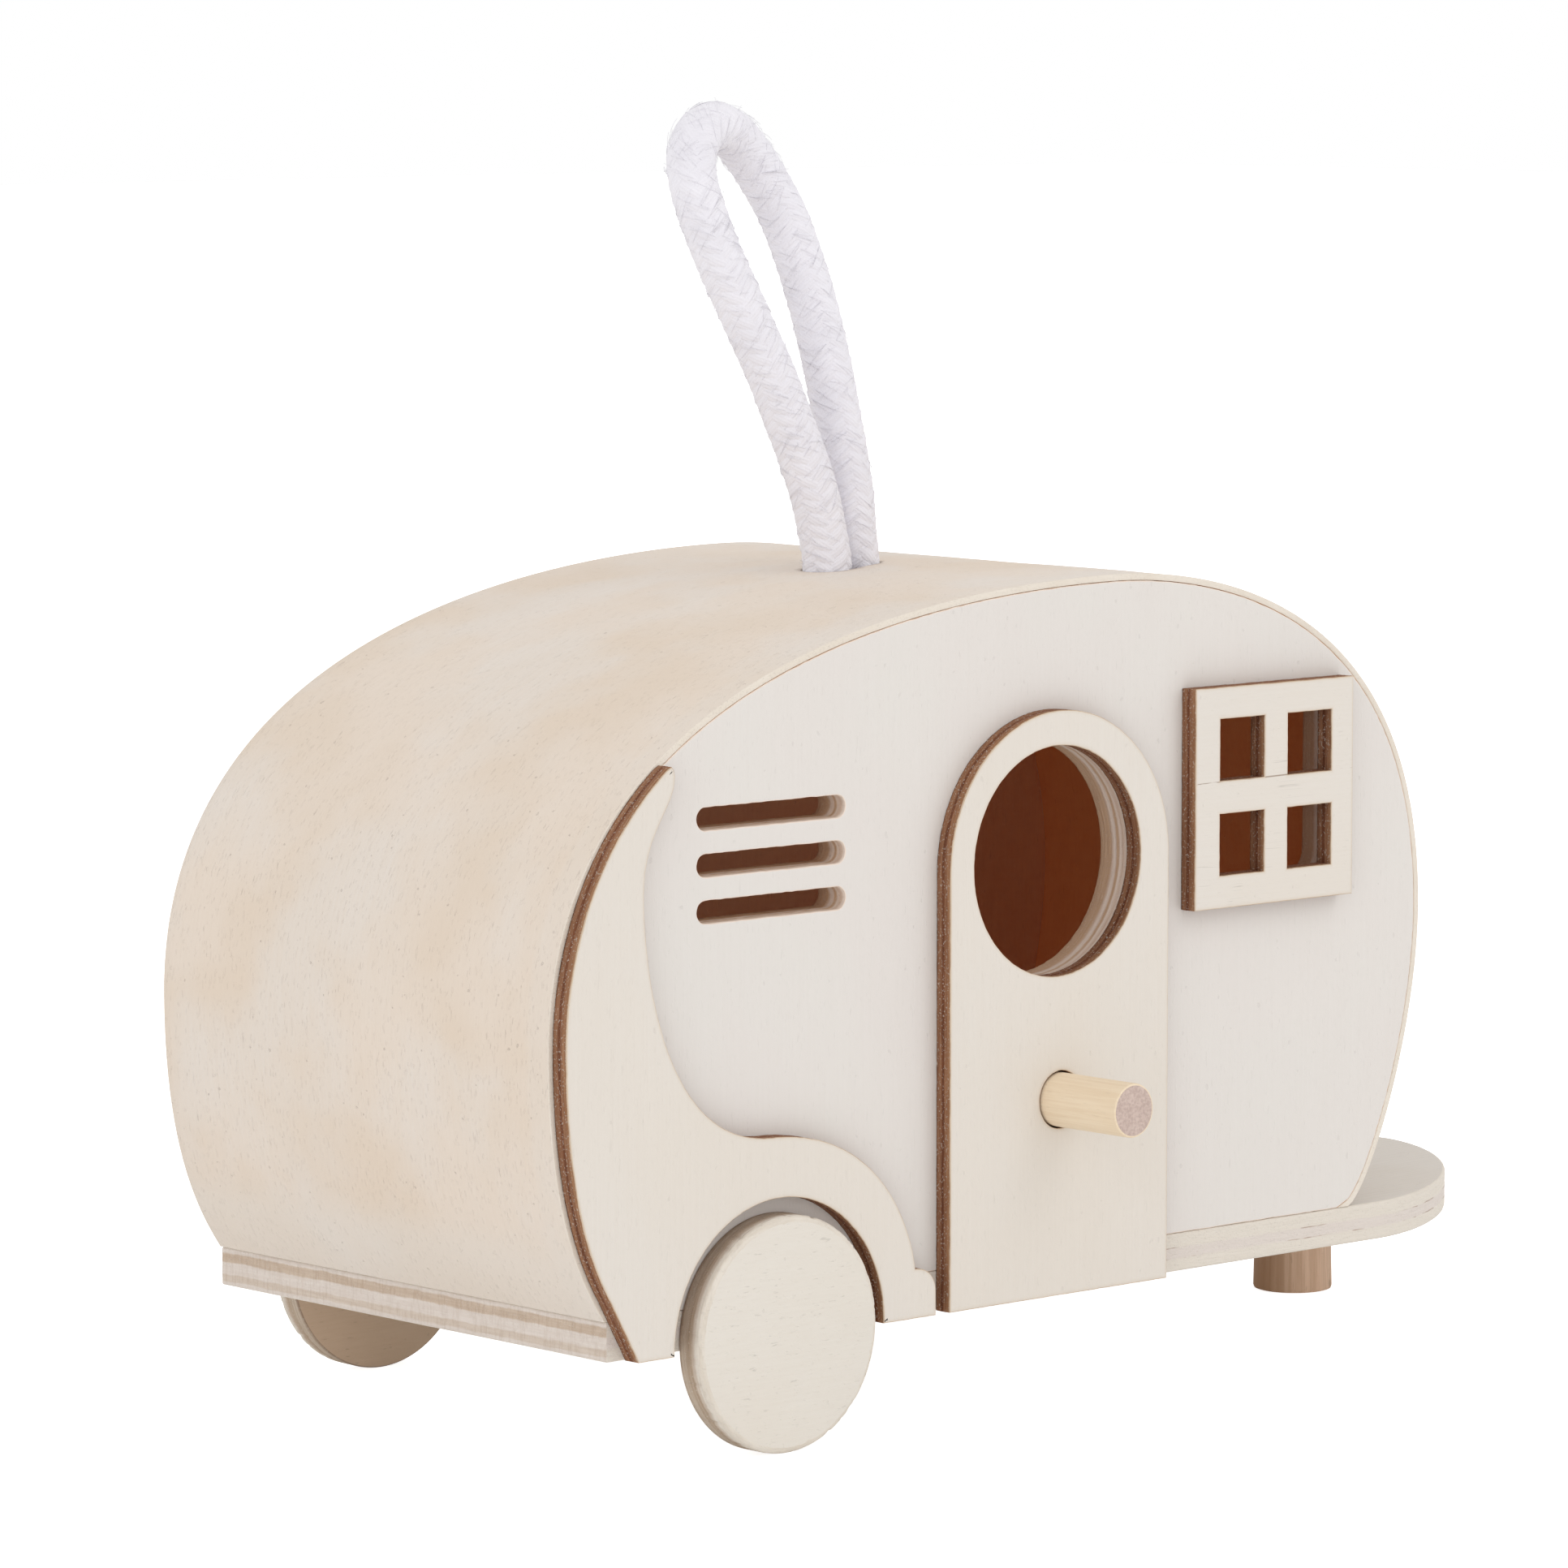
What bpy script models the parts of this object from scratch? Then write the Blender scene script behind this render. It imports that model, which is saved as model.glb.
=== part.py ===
"""A wooden nest box shaped like a small teardrop camper trailer, with a rope loop to hang it by.

Two plywood side panels stand on a flat base board and a thin plywood sheet is bent over them from
the rear foot, across the roof, to the front foot. Thin laser-cut plywood trim is glued on the door
side: a door with the round entrance hole, a four-pane window frame and a mudguard. Two disc wheels
and a peg under the tongue carry the base, and a rope loop comes out of a hole in the roof.

The design frame has x running from the rear end of the base to the tip of the tongue, y from the
centre plane (the door side is negative) and z from the underside of the base board. The parent
empty moves it so that the world's origin is under the middle of the object, on the floor.
"""
import math

import bmesh
import bpy
from mathutils import Vector

# ---------------------------------------------------------------- driving dimensions, in millimetres
MM = 0.001                     # one millimetre in Blender's metres
GAP = 0.3                      # glue line left between two pieces that touch

WIDTH = 87.0                   # over the outer faces of the two side panels
BASE_T = 5.8                   # base board
PANEL_T = 5.8                  # side panels
SHEET_T = 1.0                  # bent roof sheet
TRIM_T = 3.0                   # door, window frame and mudguard

# side view of the roof sheet's outer surface: points, and the lengths of their curve handles
REAR_FOOT = Vector((3.0, 0.0))
REAR_FOOT_LEAN = 1.4           # radians from the base's rearward direction
REAR_FOOT_REACH = 5.47
REAR_BULGE = Vector((-10.53, 44.45))
REAR_BULGE_REACH = (33.21, 52.94)      # below and above the point
RIDGE = Vector((99.81, 105.54))
RIDGE_REACH = (38.19, 18.51)           # behind and ahead of the point
NOSE = Vector((165.63, 51.23))
NOSE_REACH = (48.57, 19.61)            # above and below the point
FRONT_FOOT = Vector((150.53, BASE_T))
FRONT_FOOT_LEAN = 0.4          # radians that the sheet rises from the base board
FRONT_FOOT_REACH = 4.96

# base board in plan: straight sides, then a tongue shaped as half a superellipse
TONGUE_START = 158.15
TONGUE_LENGTH = 47.7
TONGUE_POWER = 1.58

# door trim with its arched top and the entrance hole
DOOR_X = (63.4, 108.0)
DOOR_ARCH_Z = 64.2
HOLE_CENTRE = Vector((85.1, 64.4))
HOLE_R = 17.0                  # in the door
PANEL_HOLE_R = 17.3            # in the side panel behind it

# perch
PERCH_CENTRE = Vector((85.75, 29.1))
PERCH_R = 4.0
PERCH_HOLE_R = 4.3
PERCH_OUT = 18.2               # length outside the side panel
PERCH_IN = 7.0                 # length from the side panel's outer face inwards

# window frame, its panes and the opening behind it
FRAME_X = (113.6, 147.5)
FRAME_Z = (54.6, 87.8)
PANE_X = ((118.8, 128.3), (133.3, 142.8))
PANE_Z = ((59.5, 68.8), (73.75, 83.05))
WINDOW_X = (116.6, 145.6)
WINDOW_Z = (57.5, 85.0)
WINDOW_CORNER_R = 3.5

# vent slots behind the door
VENT_X = (17.0, 45.4)
VENT_Z = (62.0, 68.6, 75.2)
VENT_H = 3.3

# mudguard: the corners and waist of its inner edge, and the wheel arch cut in its foot
GUARD_INSET = (0.75, 0.25)      # from the roof sheet's outer surface: low down, and at the tip
GUARD_NARROWS = (60.0, 80.0)   # heights between which that distance changes
GUARD_TOP_Z = 83.2             # where its outer edge ends at the tip
GUARD_FOOT = (3.4, 8.0)        # its rear foot, and the height from which it runs straight to it
GUARD_TIP = Vector((10.34, 82.1))
GUARD_WAIST = Vector((4.55, 65.65))
GUARD_SHOULDER = Vector((28.58, 29.27))
GUARD_HEEL = Vector((56.51, 7.24))
SHOULDER_REACH = 22.0          # lengths of the curve handles between the shoulder and the heel
HEEL_REACH = 5.0
ARCH_CENTRE = Vector((30.2, 0.4))
ARCH_R = 20.1
TOE_X = 60.6
TOE_R = 3.6
TOE_Z = 3.6                    # height of the centre of its round corner

# wheels and peg
WHEEL_CENTRE = Vector((30.5, 0.95))
WHEEL_R = 17.1
WHEEL_OUT = 4.6                # from the side panel's outer face to the wheel's outer face
WHEEL_ROUND = 0.6
PEG_X = 183.6
PEG_R = (6.0, 6.3)             # at the top and above the chamfer at the bottom
PEG_CHAMFER = 0.5

# rope loop and the knot that stops it under the roof
ROPE_D = 7.5
ROPE_HOLE = Vector((85.1, 0.37))
LOOP_TURN = math.radians(15)   # of the loop's plane from the x axis
LEAN_TURN = math.atan2(0.67, -0.74)    # the way in which the loop leans, from the x axis
# height over the base's underside, lean, and half of the distance between the legs
ROPE_ROUTE = [
    (103.6, 0.0, 3.9), (106.5, 0.1, 3.9), (110.0, 0.6, 4.1), (115.7, 1.4, 4.8),
    (121.8, 2.8, 5.7), (127.9, 4.5, 6.8), (134.0, 6.2, 7.9), (140.0, 8.2, 9.1),
    (146.0, 10.3, 10.1), (152.0, 12.6, 10.8), (157.5, 14.7, 10.8), (162.3, 16.7, 9.8),
    (166.4, 18.2, 7.8), (169.6, 18.9, 4.4), (170.9, 19.0, 0.0),
]
ROPE_CLEAR = 0.35              # between the two legs and the edge of the roof's hole
CUTTER_Z = 90.0                # foot of the body that cuts the hole
CUTTER_H = 30.0
ROPE_STEP = 5.0                # distance between the tube's rings
KNOT_TOP = 103.0
KNOT_PROFILE = [               # radius and height, from its lowest point up
    (5.0, 80.0), (9.5, 81.5), (12.0, 85.5), (12.6, 91.0), (12.2, 96.5), (10.6, 101.0),
    (8.8, KNOT_TOP),
]

STAND = WHEEL_R - WHEEL_CENTRE.y       # height of the base's underside over the floor
FACE_Y = WIDTH / 2                     # the side panels' outer faces
X_MID = (REAR_BULGE.x + TONGUE_START + TONGUE_LENGTH) / 2
Y_MID = (WHEEL_OUT - PERCH_OUT) / 2
FLOOR_Z = BASE_T + GAP                 # foot of what stands on the base board


# ---------------------------------------------------------------- curves in a plane
def bezier(start, reach_start, reach_end, end, steps):
    """Points of a cubic curve after its start, given its two end points and two handles."""
    points = []
    for i in range(1, steps + 1):
        t = i / steps
        s = 1 - t
        points.append(start * s**3 + reach_start * 3 * s * s * t + reach_end * 3 * s * t * t + end * t**3)
    return points


def heading(angle):
    """Unit vector at an angle from the first axis."""
    return Vector((math.cos(angle), math.sin(angle)))


def arc(centre, radius, start, end, steps):
    """Points of a circular arc from one angle to another, both ends included."""
    return [centre + radius * heading(start + (end - start) * i / steps) for i in range(steps + 1)]


def circle(centre, radius, sides):
    """Points of a full circle."""
    return [centre + radius * heading(math.tau * i / sides) for i in range(sides)]


def rounded_box(xs, zs, radius, steps):
    """Rectangle with round corners, anticlockwise."""
    corners = [
        (Vector((xs[1] - radius, zs[1] - radius)), 0.0),
        (Vector((xs[0] + radius, zs[1] - radius)), 0.5 * math.pi),
        (Vector((xs[0] + radius, zs[0] + radius)), math.pi),
        (Vector((xs[1] - radius, zs[0] + radius)), 1.5 * math.pi),
    ]
    points = []
    for centre, turn in corners:
        points += arc(centre, radius, turn, turn + 0.5 * math.pi, steps)
    return points


def slot(xs, z, height, steps):
    """Long slot along the first axis whose ends are half circles."""
    radius = height / 2
    right = arc(Vector((xs[1] - radius, z)), radius, -0.5 * math.pi, 0.5 * math.pi, steps)
    left = arc(Vector((xs[0] + radius, z)), radius, 0.5 * math.pi, 1.5 * math.pi, steps)
    return right + left


def inset(line, depth):
    """The line moved to its right by a depth."""
    moved = []
    for i, point in enumerate(line):
        along = (line[min(i + 1, len(line) - 1)] - line[max(i - 1, 0)]).normalized()
        moved.append(point + depth * Vector((along.y, -along.x)))
    return moved


def above(line, floor):
    """The stretch of a line above a floor, its two ends cut level with the floor."""
    kept = []
    for a, b in zip(line, line[1:]):
        if (a.y < floor) != (b.y < floor):
            kept.append(a.lerp(b, (floor - a.y) / (b.y - a.y)))
        if b.y >= floor:
            kept.append(b)
    return kept


def roof_line():
    """Side view of the roof sheet's outer surface, rear foot to front foot, run on past both."""
    up = Vector((0, 1))
    ahead = Vector((1, 0))
    rear_way = heading(math.pi - REAR_FOOT_LEAN)
    front_way = heading(FRONT_FOOT_LEAN)
    line = [REAR_FOOT - 2 * rear_way, REAR_FOOT]
    line += bezier(REAR_FOOT, REAR_FOOT + REAR_FOOT_REACH * rear_way,
                   REAR_BULGE - REAR_BULGE_REACH[0] * up, REAR_BULGE, 12)
    line += bezier(REAR_BULGE, REAR_BULGE + REAR_BULGE_REACH[1] * up,
                   RIDGE - RIDGE_REACH[0] * ahead, RIDGE, 24)
    line += bezier(RIDGE, RIDGE + RIDGE_REACH[1] * ahead,
                   NOSE + NOSE_REACH[0] * up, NOSE, 20)
    line += bezier(NOSE, NOSE - NOSE_REACH[1] * up,
                   FRONT_FOOT + FRONT_FOOT_REACH * front_way, FRONT_FOOT, 14)
    line.append(FRONT_FOOT - 8 * front_way)
    return line


def panel_edge(floor):
    """The edge of a side panel under the roof sheet, from a floor height back to the same height."""
    return above(inset(roof_line(), SHEET_T + GAP), floor)


# ---------------------------------------------------------------- making objects
house = bpy.data.objects
for old in list(house):
    bpy.data.objects.remove(old, do_unlink=True)

trailer = bpy.data.objects.new("birdhouse", None)
trailer.location = Vector((-X_MID, -Y_MID, STAND)) * MM
bpy.context.scene.collection.objects.link(trailer)


def finish(name, colour, roughness):
    """Principled material of one piece; nothing here is metal."""
    material = bpy.data.materials.new(name)
    material.use_nodes = True
    shader = material.node_tree.nodes["Principled BSDF"]
    shader.inputs["Base Color"].default_value = (*colour, 1.0)
    shader.inputs["Roughness"].default_value = roughness
    shader.inputs["Metallic"].default_value = 0.0
    return material


def place(name, data, material, location=(0, 0, 0), rotation=(0, 0, 0)):
    """Object of the given data under the trailer's empty."""
    data.materials.append(material)
    piece = bpy.data.objects.new(name, data)
    piece.location = Vector(location) * MM
    piece.rotation_euler = rotation
    piece.parent = trailer
    bpy.context.scene.collection.objects.link(piece)
    return piece


def sheet_mesh(name, outline, holes, thickness):
    """Flat board cut to an outline with holes, its faces at local z 0 and the thickness."""
    shape = bmesh.new()
    for loop in [outline] + holes:
        corners = [shape.verts.new((p.x * MM, p.y * MM, 0.0)) for p in loop]
        for a, b in zip(corners, corners[1:] + corners[:1]):
            shape.edges.new((a, b))
    bmesh.ops.triangle_fill(shape, edges=shape.edges[:], use_beauty=True, normal=(0, 0, 1))
    raised = bmesh.ops.extrude_face_region(shape, geom=shape.faces[:], use_keep_orig=True)
    lifted = [v for v in raised["geom"] if isinstance(v, bmesh.types.BMVert)]
    bmesh.ops.translate(shape, verts=lifted, vec=(0, 0, thickness * MM))
    bmesh.ops.recalc_face_normals(shape, faces=shape.faces[:])
    mesh = bpy.data.meshes.new(name)
    shape.to_mesh(mesh)
    shape.free()
    return mesh


def upright(name, outline, holes, inner_y, thickness, material):
    """Board standing in the x-z plane; from inner_y it is thickness deep towards the door side."""
    mesh = sheet_mesh(name, outline, holes, thickness)
    return place(name, mesh, material, (0, inner_y, 0), (math.radians(90), 0, 0))


def turned_mesh(name, profile, sides):
    """Body turned about local z; the profile holds (radius, height) pairs from the bottom up."""
    shape = bmesh.new()
    rings = []
    for radius, height in profile:
        ring = [shape.verts.new((p.x * MM, p.y * MM, height * MM))
                for p in circle(Vector((0, 0)), radius, sides)]
        rings.append(ring)
    for low, high in zip(rings, rings[1:]):
        for k in range(sides):
            after = (k + 1) % sides
            shape.faces.new((low[k], low[after], high[after], high[k]))
    shape.faces.new(rings[0][::-1])
    shape.faces.new(rings[-1])
    mesh = bpy.data.meshes.new(name)
    shape.to_mesh(mesh)
    shape.free()
    mesh.shade_smooth()
    mesh.set_sharp_from_angle(angle=math.radians(40))
    return mesh


# ---------------------------------------------------------------- the pieces
def base_board():
    """Floor of the box: 5-ply board with a square rear end and a rounded tongue in front."""
    half = WIDTH / 2
    turns = 40
    outline = [Vector((0, -half))]
    for i in range(turns + 1):
        turn = -math.pi / 2 + math.pi * i / turns
        side = math.copysign(abs(math.sin(turn)) ** (2 / TONGUE_POWER), math.sin(turn))
        reach = max(math.cos(turn), 0.0) ** (2 / TONGUE_POWER)
        outline.append(Vector((TONGUE_START + TONGUE_LENGTH * reach, half * side)))
    outline.append(Vector((0, half)))
    wood = finish("base_ply", (0.62, 0.55, 0.47), 0.62)
    return place("base_board", sheet_mesh("base_board", outline, [], BASE_T), wood)


def door_side_panel():
    """Side panel with the entrance hole, perch hole, window opening and three vent slots."""
    holes = [
        circle(HOLE_CENTRE, PANEL_HOLE_R, 56),
        circle(PERCH_CENTRE, PERCH_R + GAP, 32),
        rounded_box(WINDOW_X, WINDOW_Z, WINDOW_CORNER_R, 5),
    ]
    holes += [slot(VENT_X, z, VENT_H, 8) for z in VENT_Z]
    wood = finish("door_side_ply", (0.77, 0.73, 0.69), 0.6)
    return upright("door_side_panel", panel_edge(FLOOR_Z), holes, PANEL_T - FACE_Y, PANEL_T, wood)


def far_side_panel():
    """Plain side panel of the other side."""
    wood = finish("far_side_ply", (0.77, 0.73, 0.69), 0.6)
    return upright("far_side_panel", panel_edge(FLOOR_Z), [], FACE_Y, PANEL_T, wood)


def roof_sheet():
    """Thin plywood sheet bent over both panels, with the long hole that both legs of the rope fill."""
    outside = above(roof_line(), FLOOR_Z)
    inside = above(inset(roof_line(), SHEET_T), FLOOR_Z)
    wood = finish("roof_ply", (0.73, 0.65, 0.55), 0.55)
    piece = upright("roof_sheet", outside + inside[::-1], [], FACE_Y, WIDTH, wood)
    half_width = ROPE_D / 2 + ROPE_CLEAR
    half_length = ROPE_ROUTE[0][2] + half_width
    outline = slot((-half_length, half_length), 0.0, 2 * half_width, 14)
    cutter = place("rope_hole_cutter", sheet_mesh("rope_hole_cutter", outline, [], CUTTER_H), wood,
                   (ROPE_HOLE.x, ROPE_HOLE.y, CUTTER_Z), (0, 0, LOOP_TURN))
    cutter.hide_render = True
    cutter.display_type = "WIRE"
    cut = piece.modifiers.new("rope_hole", "BOOLEAN")
    cut.operation = "DIFFERENCE"
    cut.solver = "EXACT"
    cut.object = cutter
    return piece


def trim(name, outline, holes, colour):
    """Thin laser-cut board glued to the outside of the door-side panel."""
    wood = finish(name + "_ply", colour, 0.58)
    return upright(name, outline, holes, -FACE_Y - GAP, TRIM_T - GAP, wood)


def guard_rear_edge():
    """The mudguard's rear edge, from its foot up to its tip, a little inside the roof sheet's surface."""
    low, high = GUARD_NARROWS
    edge = [Vector((GUARD_FOOT[0], 0))]
    for wide, narrow in zip(inset(roof_line(), GUARD_INSET[0]), inset(roof_line(), GUARD_INSET[1])):
        share = min(max((wide.y - low) / (high - low), 0.0), 1.0)
        point = wide.lerp(narrow, share)
        if point.x < RIDGE.x and GUARD_FOOT[1] < point.y < GUARD_TOP_Z:
            edge.append(point)
    return edge


def door_side_fender():
    """Mudguard that follows the panel's rear edge, sweeps over the wheel and ends in a toe."""
    up = Vector((0, 1))
    shoulder_way = heading(-0.02)
    heel_way = heading(-1.45)
    outline = guard_rear_edge() + [Vector((9.75, 83.4)), Vector((10.15, 82.95)), GUARD_TIP]
    outline += bezier(GUARD_TIP, GUARD_TIP - 4.7 * up, GUARD_WAIST + 9.32 * up, GUARD_WAIST, 7)
    outline += bezier(GUARD_WAIST, GUARD_WAIST - 11.67 * up,
                      GUARD_SHOULDER - 20.0 * shoulder_way, GUARD_SHOULDER, 14)
    outline += bezier(GUARD_SHOULDER, GUARD_SHOULDER + SHOULDER_REACH * shoulder_way,
                      GUARD_HEEL - HEEL_REACH * heel_way, GUARD_HEEL, 14)
    outline += arc(Vector((TOE_X - TOE_R, TOE_Z)), TOE_R, math.radians(88), 0.0, 6)
    outline += [Vector((TOE_X, 0)), Vector((ARCH_CENTRE.x + ARCH_R, 0))]
    outline += arc(ARCH_CENTRE, ARCH_R, 0.0, math.pi, 32)
    outline.append(Vector((ARCH_CENTRE.x - ARCH_R, 0)))
    return trim("door_side_fender", outline, [], (0.75, 0.70, 0.62))


def door_overlay():
    """Door board with an arched top around the entrance hole, and the hole for the perch."""
    half = (DOOR_X[1] - DOOR_X[0]) / 2
    top = arc(Vector((DOOR_X[0] + half, DOOR_ARCH_Z)), half, 0.0, math.pi, 36)
    outline = [Vector((DOOR_X[0], 0)), Vector((DOOR_X[1], 0))] + top
    holes = [circle(HOLE_CENTRE, HOLE_R, 56), circle(PERCH_CENTRE, PERCH_HOLE_R, 32)]
    return trim("door_overlay", outline, holes, (0.75, 0.70, 0.62))


def window_frame():
    """Square window frame with four panes left open."""
    outline = rounded_box(FRAME_X, FRAME_Z, 0.6, 2)
    holes = [rounded_box(xs, zs, 0.4, 2) for xs in PANE_X for zs in PANE_Z]
    return trim("window_frame", outline, holes, (0.75, 0.70, 0.62))


def perch_dowel():
    """Round dowel glued through the door and the side panel."""
    length = PERCH_OUT + PERCH_IN
    ease = 0.3
    profile = [(PERCH_R - ease, 0), (PERCH_R, ease), (PERCH_R, length - ease), (PERCH_R - ease, length)]
    wood = finish("dowel_wood", (0.80, 0.62, 0.38), 0.6)
    spot = (PERCH_CENTRE.x, PERCH_IN - FACE_Y, PERCH_CENTRE.y)
    return place("perch_dowel", turned_mesh("perch_dowel", profile, 32), wood, spot,
                 (math.radians(90), 0, 0))


def jack_peg():
    """Tapered peg glued under the tongue, as long as the wheels are deep."""
    top = STAND - GAP
    profile = [(PEG_R[1] - PEG_CHAMFER, 0), (PEG_R[1], PEG_CHAMFER), (PEG_R[0], top)]
    wood = finish("peg_wood", (0.55, 0.38, 0.24), 0.65)
    return place("jack_peg", turned_mesh("jack_peg", profile, 40), wood, (PEG_X, 0, -STAND))


def wheel(name, side):
    """Plain plywood disc glued to the side face; side is -1 at the door and 1 at the far side."""
    depth = WHEEL_OUT - GAP
    profile = [(WHEEL_R, 0), (WHEEL_R, depth - WHEEL_ROUND), (WHEEL_R - WHEEL_ROUND, depth)]
    wood = finish(name + "_ply", (0.75, 0.70, 0.60), 0.6)
    spot = (WHEEL_CENTRE.x, side * (FACE_Y + GAP), WHEEL_CENTRE.y)
    return place(name, turned_mesh(name, profile, 64), wood, spot, (side * math.radians(-90), 0, 0))


def rope_route():
    """The rope's route points: up one leg, round the top and down the other leg."""
    across = heading(LOOP_TURN)
    lean_way = heading(LEAN_TURN)
    points = []
    for side, half in ((-1, ROPE_ROUTE), (1, ROPE_ROUTE[-2::-1])):
        for height, lean, spread in half:
            spot = ROPE_HOLE + lean * lean_way + side * spread * across
            points.append(Vector((spot.x, spot.y, height)))
    return points


def smooth_line(route, step):
    """Points about one step apart on a smooth curve through the route's points."""
    padded = [2 * route[0] - route[1]] + route + [2 * route[-1] - route[-2]]
    fine = [route[0]]
    parts = 20
    for p0, p1, p2, p3 in zip(padded, padded[1:], padded[2:], padded[3:]):
        for i in range(1, parts + 1):
            t = i / parts
            fine.append(0.5 * (2 * p1 + (p2 - p0) * t + (2 * p0 - 5 * p1 + 4 * p2 - p3) * t * t
                               + (3 * p1 - 3 * p2 + p3 - p0) * t**3))
    lengths = [0.0]
    for a, b in zip(fine, fine[1:]):
        lengths.append(lengths[-1] + (b - a).length)
    count = round(lengths[-1] / step)
    points = []
    at = 0
    for i in range(count + 1):
        goal = lengths[-1] * i / count
        while at < len(lengths) - 2 and lengths[at + 1] < goal:
            at += 1
        part = (goal - lengths[at]) / (lengths[at + 1] - lengths[at])
        points.append(fine[at].lerp(fine[at + 1], part))
    return points


def rope_loop():
    """Braided cotton rope: both legs rise through the roof's hole and meet in a leaning loop."""
    points = smooth_line(rope_route(), ROPE_STEP)
    curve = bpy.data.curves.new("rope_loop", "CURVE")
    curve.dimensions = "3D"
    curve.bevel_depth = ROPE_D / 2 * MM
    curve.bevel_resolution = 4
    curve.use_fill_caps = True
    spline = curve.splines.new("POLY")
    spline.points.add(len(points) - 1)
    for knot, point in zip(spline.points, points):
        knot.co = (*(point * MM), 1.0)
    cotton = finish("rope_cotton", (0.86, 0.85, 0.86), 0.9)
    return place("rope_loop", curve, cotton)


def rope_knot():
    """Knot in the rope's two ends, pulled up under the roof sheet; it is wider than the hole."""
    cotton = finish("knot_cotton", (0.86, 0.85, 0.86), 0.9)
    return place("rope_knot", turned_mesh("rope_knot", KNOT_PROFILE, 24), cotton,
                 (ROPE_HOLE.x, ROPE_HOLE.y, 0))


base_board()
door_side_panel()
far_side_panel()
roof_sheet()
door_side_fender()
door_overlay()
window_frame()
perch_dowel()
jack_peg()
wheel("door_side_wheel", -1)
wheel("far_side_wheel", 1)
rope_loop()
rope_knot()
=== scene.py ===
"""The looks of a wooden nest box shaped like a small teardrop camper trailer.

Sizes are in millimetres. x runs from the rear end of the base board to the tip of its tongue, y from
the centre plane with the door side negative, and z from the base board's underside.
"""
import math

import bmesh
import bpy
import numpy as np
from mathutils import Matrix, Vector, noise


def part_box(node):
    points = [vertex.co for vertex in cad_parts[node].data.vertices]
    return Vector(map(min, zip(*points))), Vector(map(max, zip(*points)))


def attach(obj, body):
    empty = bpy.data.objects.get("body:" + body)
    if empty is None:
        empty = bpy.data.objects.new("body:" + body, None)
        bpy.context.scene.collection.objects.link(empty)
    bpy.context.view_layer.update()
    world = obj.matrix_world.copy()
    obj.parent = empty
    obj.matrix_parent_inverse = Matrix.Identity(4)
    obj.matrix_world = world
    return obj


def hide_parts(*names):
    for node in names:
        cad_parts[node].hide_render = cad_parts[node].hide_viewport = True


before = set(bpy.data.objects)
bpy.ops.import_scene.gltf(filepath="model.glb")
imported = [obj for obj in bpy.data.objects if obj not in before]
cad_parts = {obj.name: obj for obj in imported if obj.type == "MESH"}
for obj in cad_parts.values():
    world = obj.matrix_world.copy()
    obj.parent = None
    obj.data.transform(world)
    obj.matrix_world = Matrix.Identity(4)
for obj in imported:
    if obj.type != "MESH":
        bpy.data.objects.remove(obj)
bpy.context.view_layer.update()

# ---------------------------------------------------------------- where the trailer stands
# The rear end and the underside of the base board and the two side panels' faces fix the place of
# everything else, as they do when the box is glued up on a bench.
MM = 0.001
base_low, base_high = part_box("base_board")
panel_low, panel_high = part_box("door_side_panel")
far_panel_low, far_panel_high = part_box("far_side_panel")
REAR_END = Vector((base_low.x, (panel_low.y + far_panel_high.y) / 2, base_low.z))
FACE_Y = (far_panel_high.y - panel_low.y) / 2 / MM
BASE_T = (base_high.z - base_low.z) / MM
PANEL_T = (panel_high.y - panel_low.y) / MM


def at(x, y, z):
    """Place of a point given in millimetres from the rear end, the centre plane and the underside."""
    return REAR_END + Vector((x, y, z)) * MM


# ---------------------------------------------------------------- camera, floor and studio lights
# A long lens looks at the rear and the door side from a little above the roof. The box stands on
# white paper in an evenly lit white room; one soft lamp above the door side gives the edges their
# form and a second one fills in the rear.


def added(name, data):
    """New object with the given data, put in the scene."""
    item = bpy.data.objects.new(name, data)
    bpy.context.scene.collection.objects.link(item)
    return item


camera = added("camera", bpy.data.cameras.new("camera"))
camera.data.sensor_width = 36.0
camera.data.lens = 171.43
camera.data.clip_end = 20.0
camera.location = at(-674.7, -822.4, 189.4)
camera.rotation_euler = (math.radians(90 - 5.98), 0.0, math.radians(-42.28))
bpy.context.scene.camera = camera
bpy.context.scene.view_settings.view_transform = "Standard"


BOX_MIDDLE = Vector((0.0, 0.0, 0.06))
LAMP_WHITE = (1.0, 0.99, 0.98)


def soft_lamp(name, location, size, power):
    """Square studio lamp aimed at the middle of the box."""
    lamp = added(name, bpy.data.lights.new(name, "AREA"))
    lamp.data.size = size
    lamp.data.energy = power
    lamp.data.color = LAMP_WHITE
    lamp.location = location
    lamp.rotation_euler = (BOX_MIDDLE - Vector(location)).to_track_quat("-Z", "Y").to_euler()


def by_ray(tree, socket, other, own):
    """Gives a socket one value for the camera's own rays and another for every other ray."""
    ray = tree.nodes.new("ShaderNodeLightPath")
    choice = tree.nodes.new("ShaderNodeMapRange")
    choice.inputs["To Min"].default_value = other
    choice.inputs["To Max"].default_value = own
    tree.links.new(ray.outputs["Is Camera Ray"], choice.inputs["Value"])
    tree.links.new(choice.outputs["Result"], socket)


soft_lamp("door_lamp", (0.45, -1.05, 1.15), 0.8, 2.2)
soft_lamp("rear_lamp", (-1.3, -0.75, 0.5), 1.0, 2.2)

surround = bpy.data.worlds.new("white_surround")
surround.use_nodes = True
bpy.context.scene.world = surround
sky = surround.node_tree.nodes["Background"]
sky.inputs["Color"].default_value = (1.0, 1.0, 1.0, 1.0)
by_ray(surround.node_tree, sky.inputs["Strength"], 0.92, 1.0)

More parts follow.
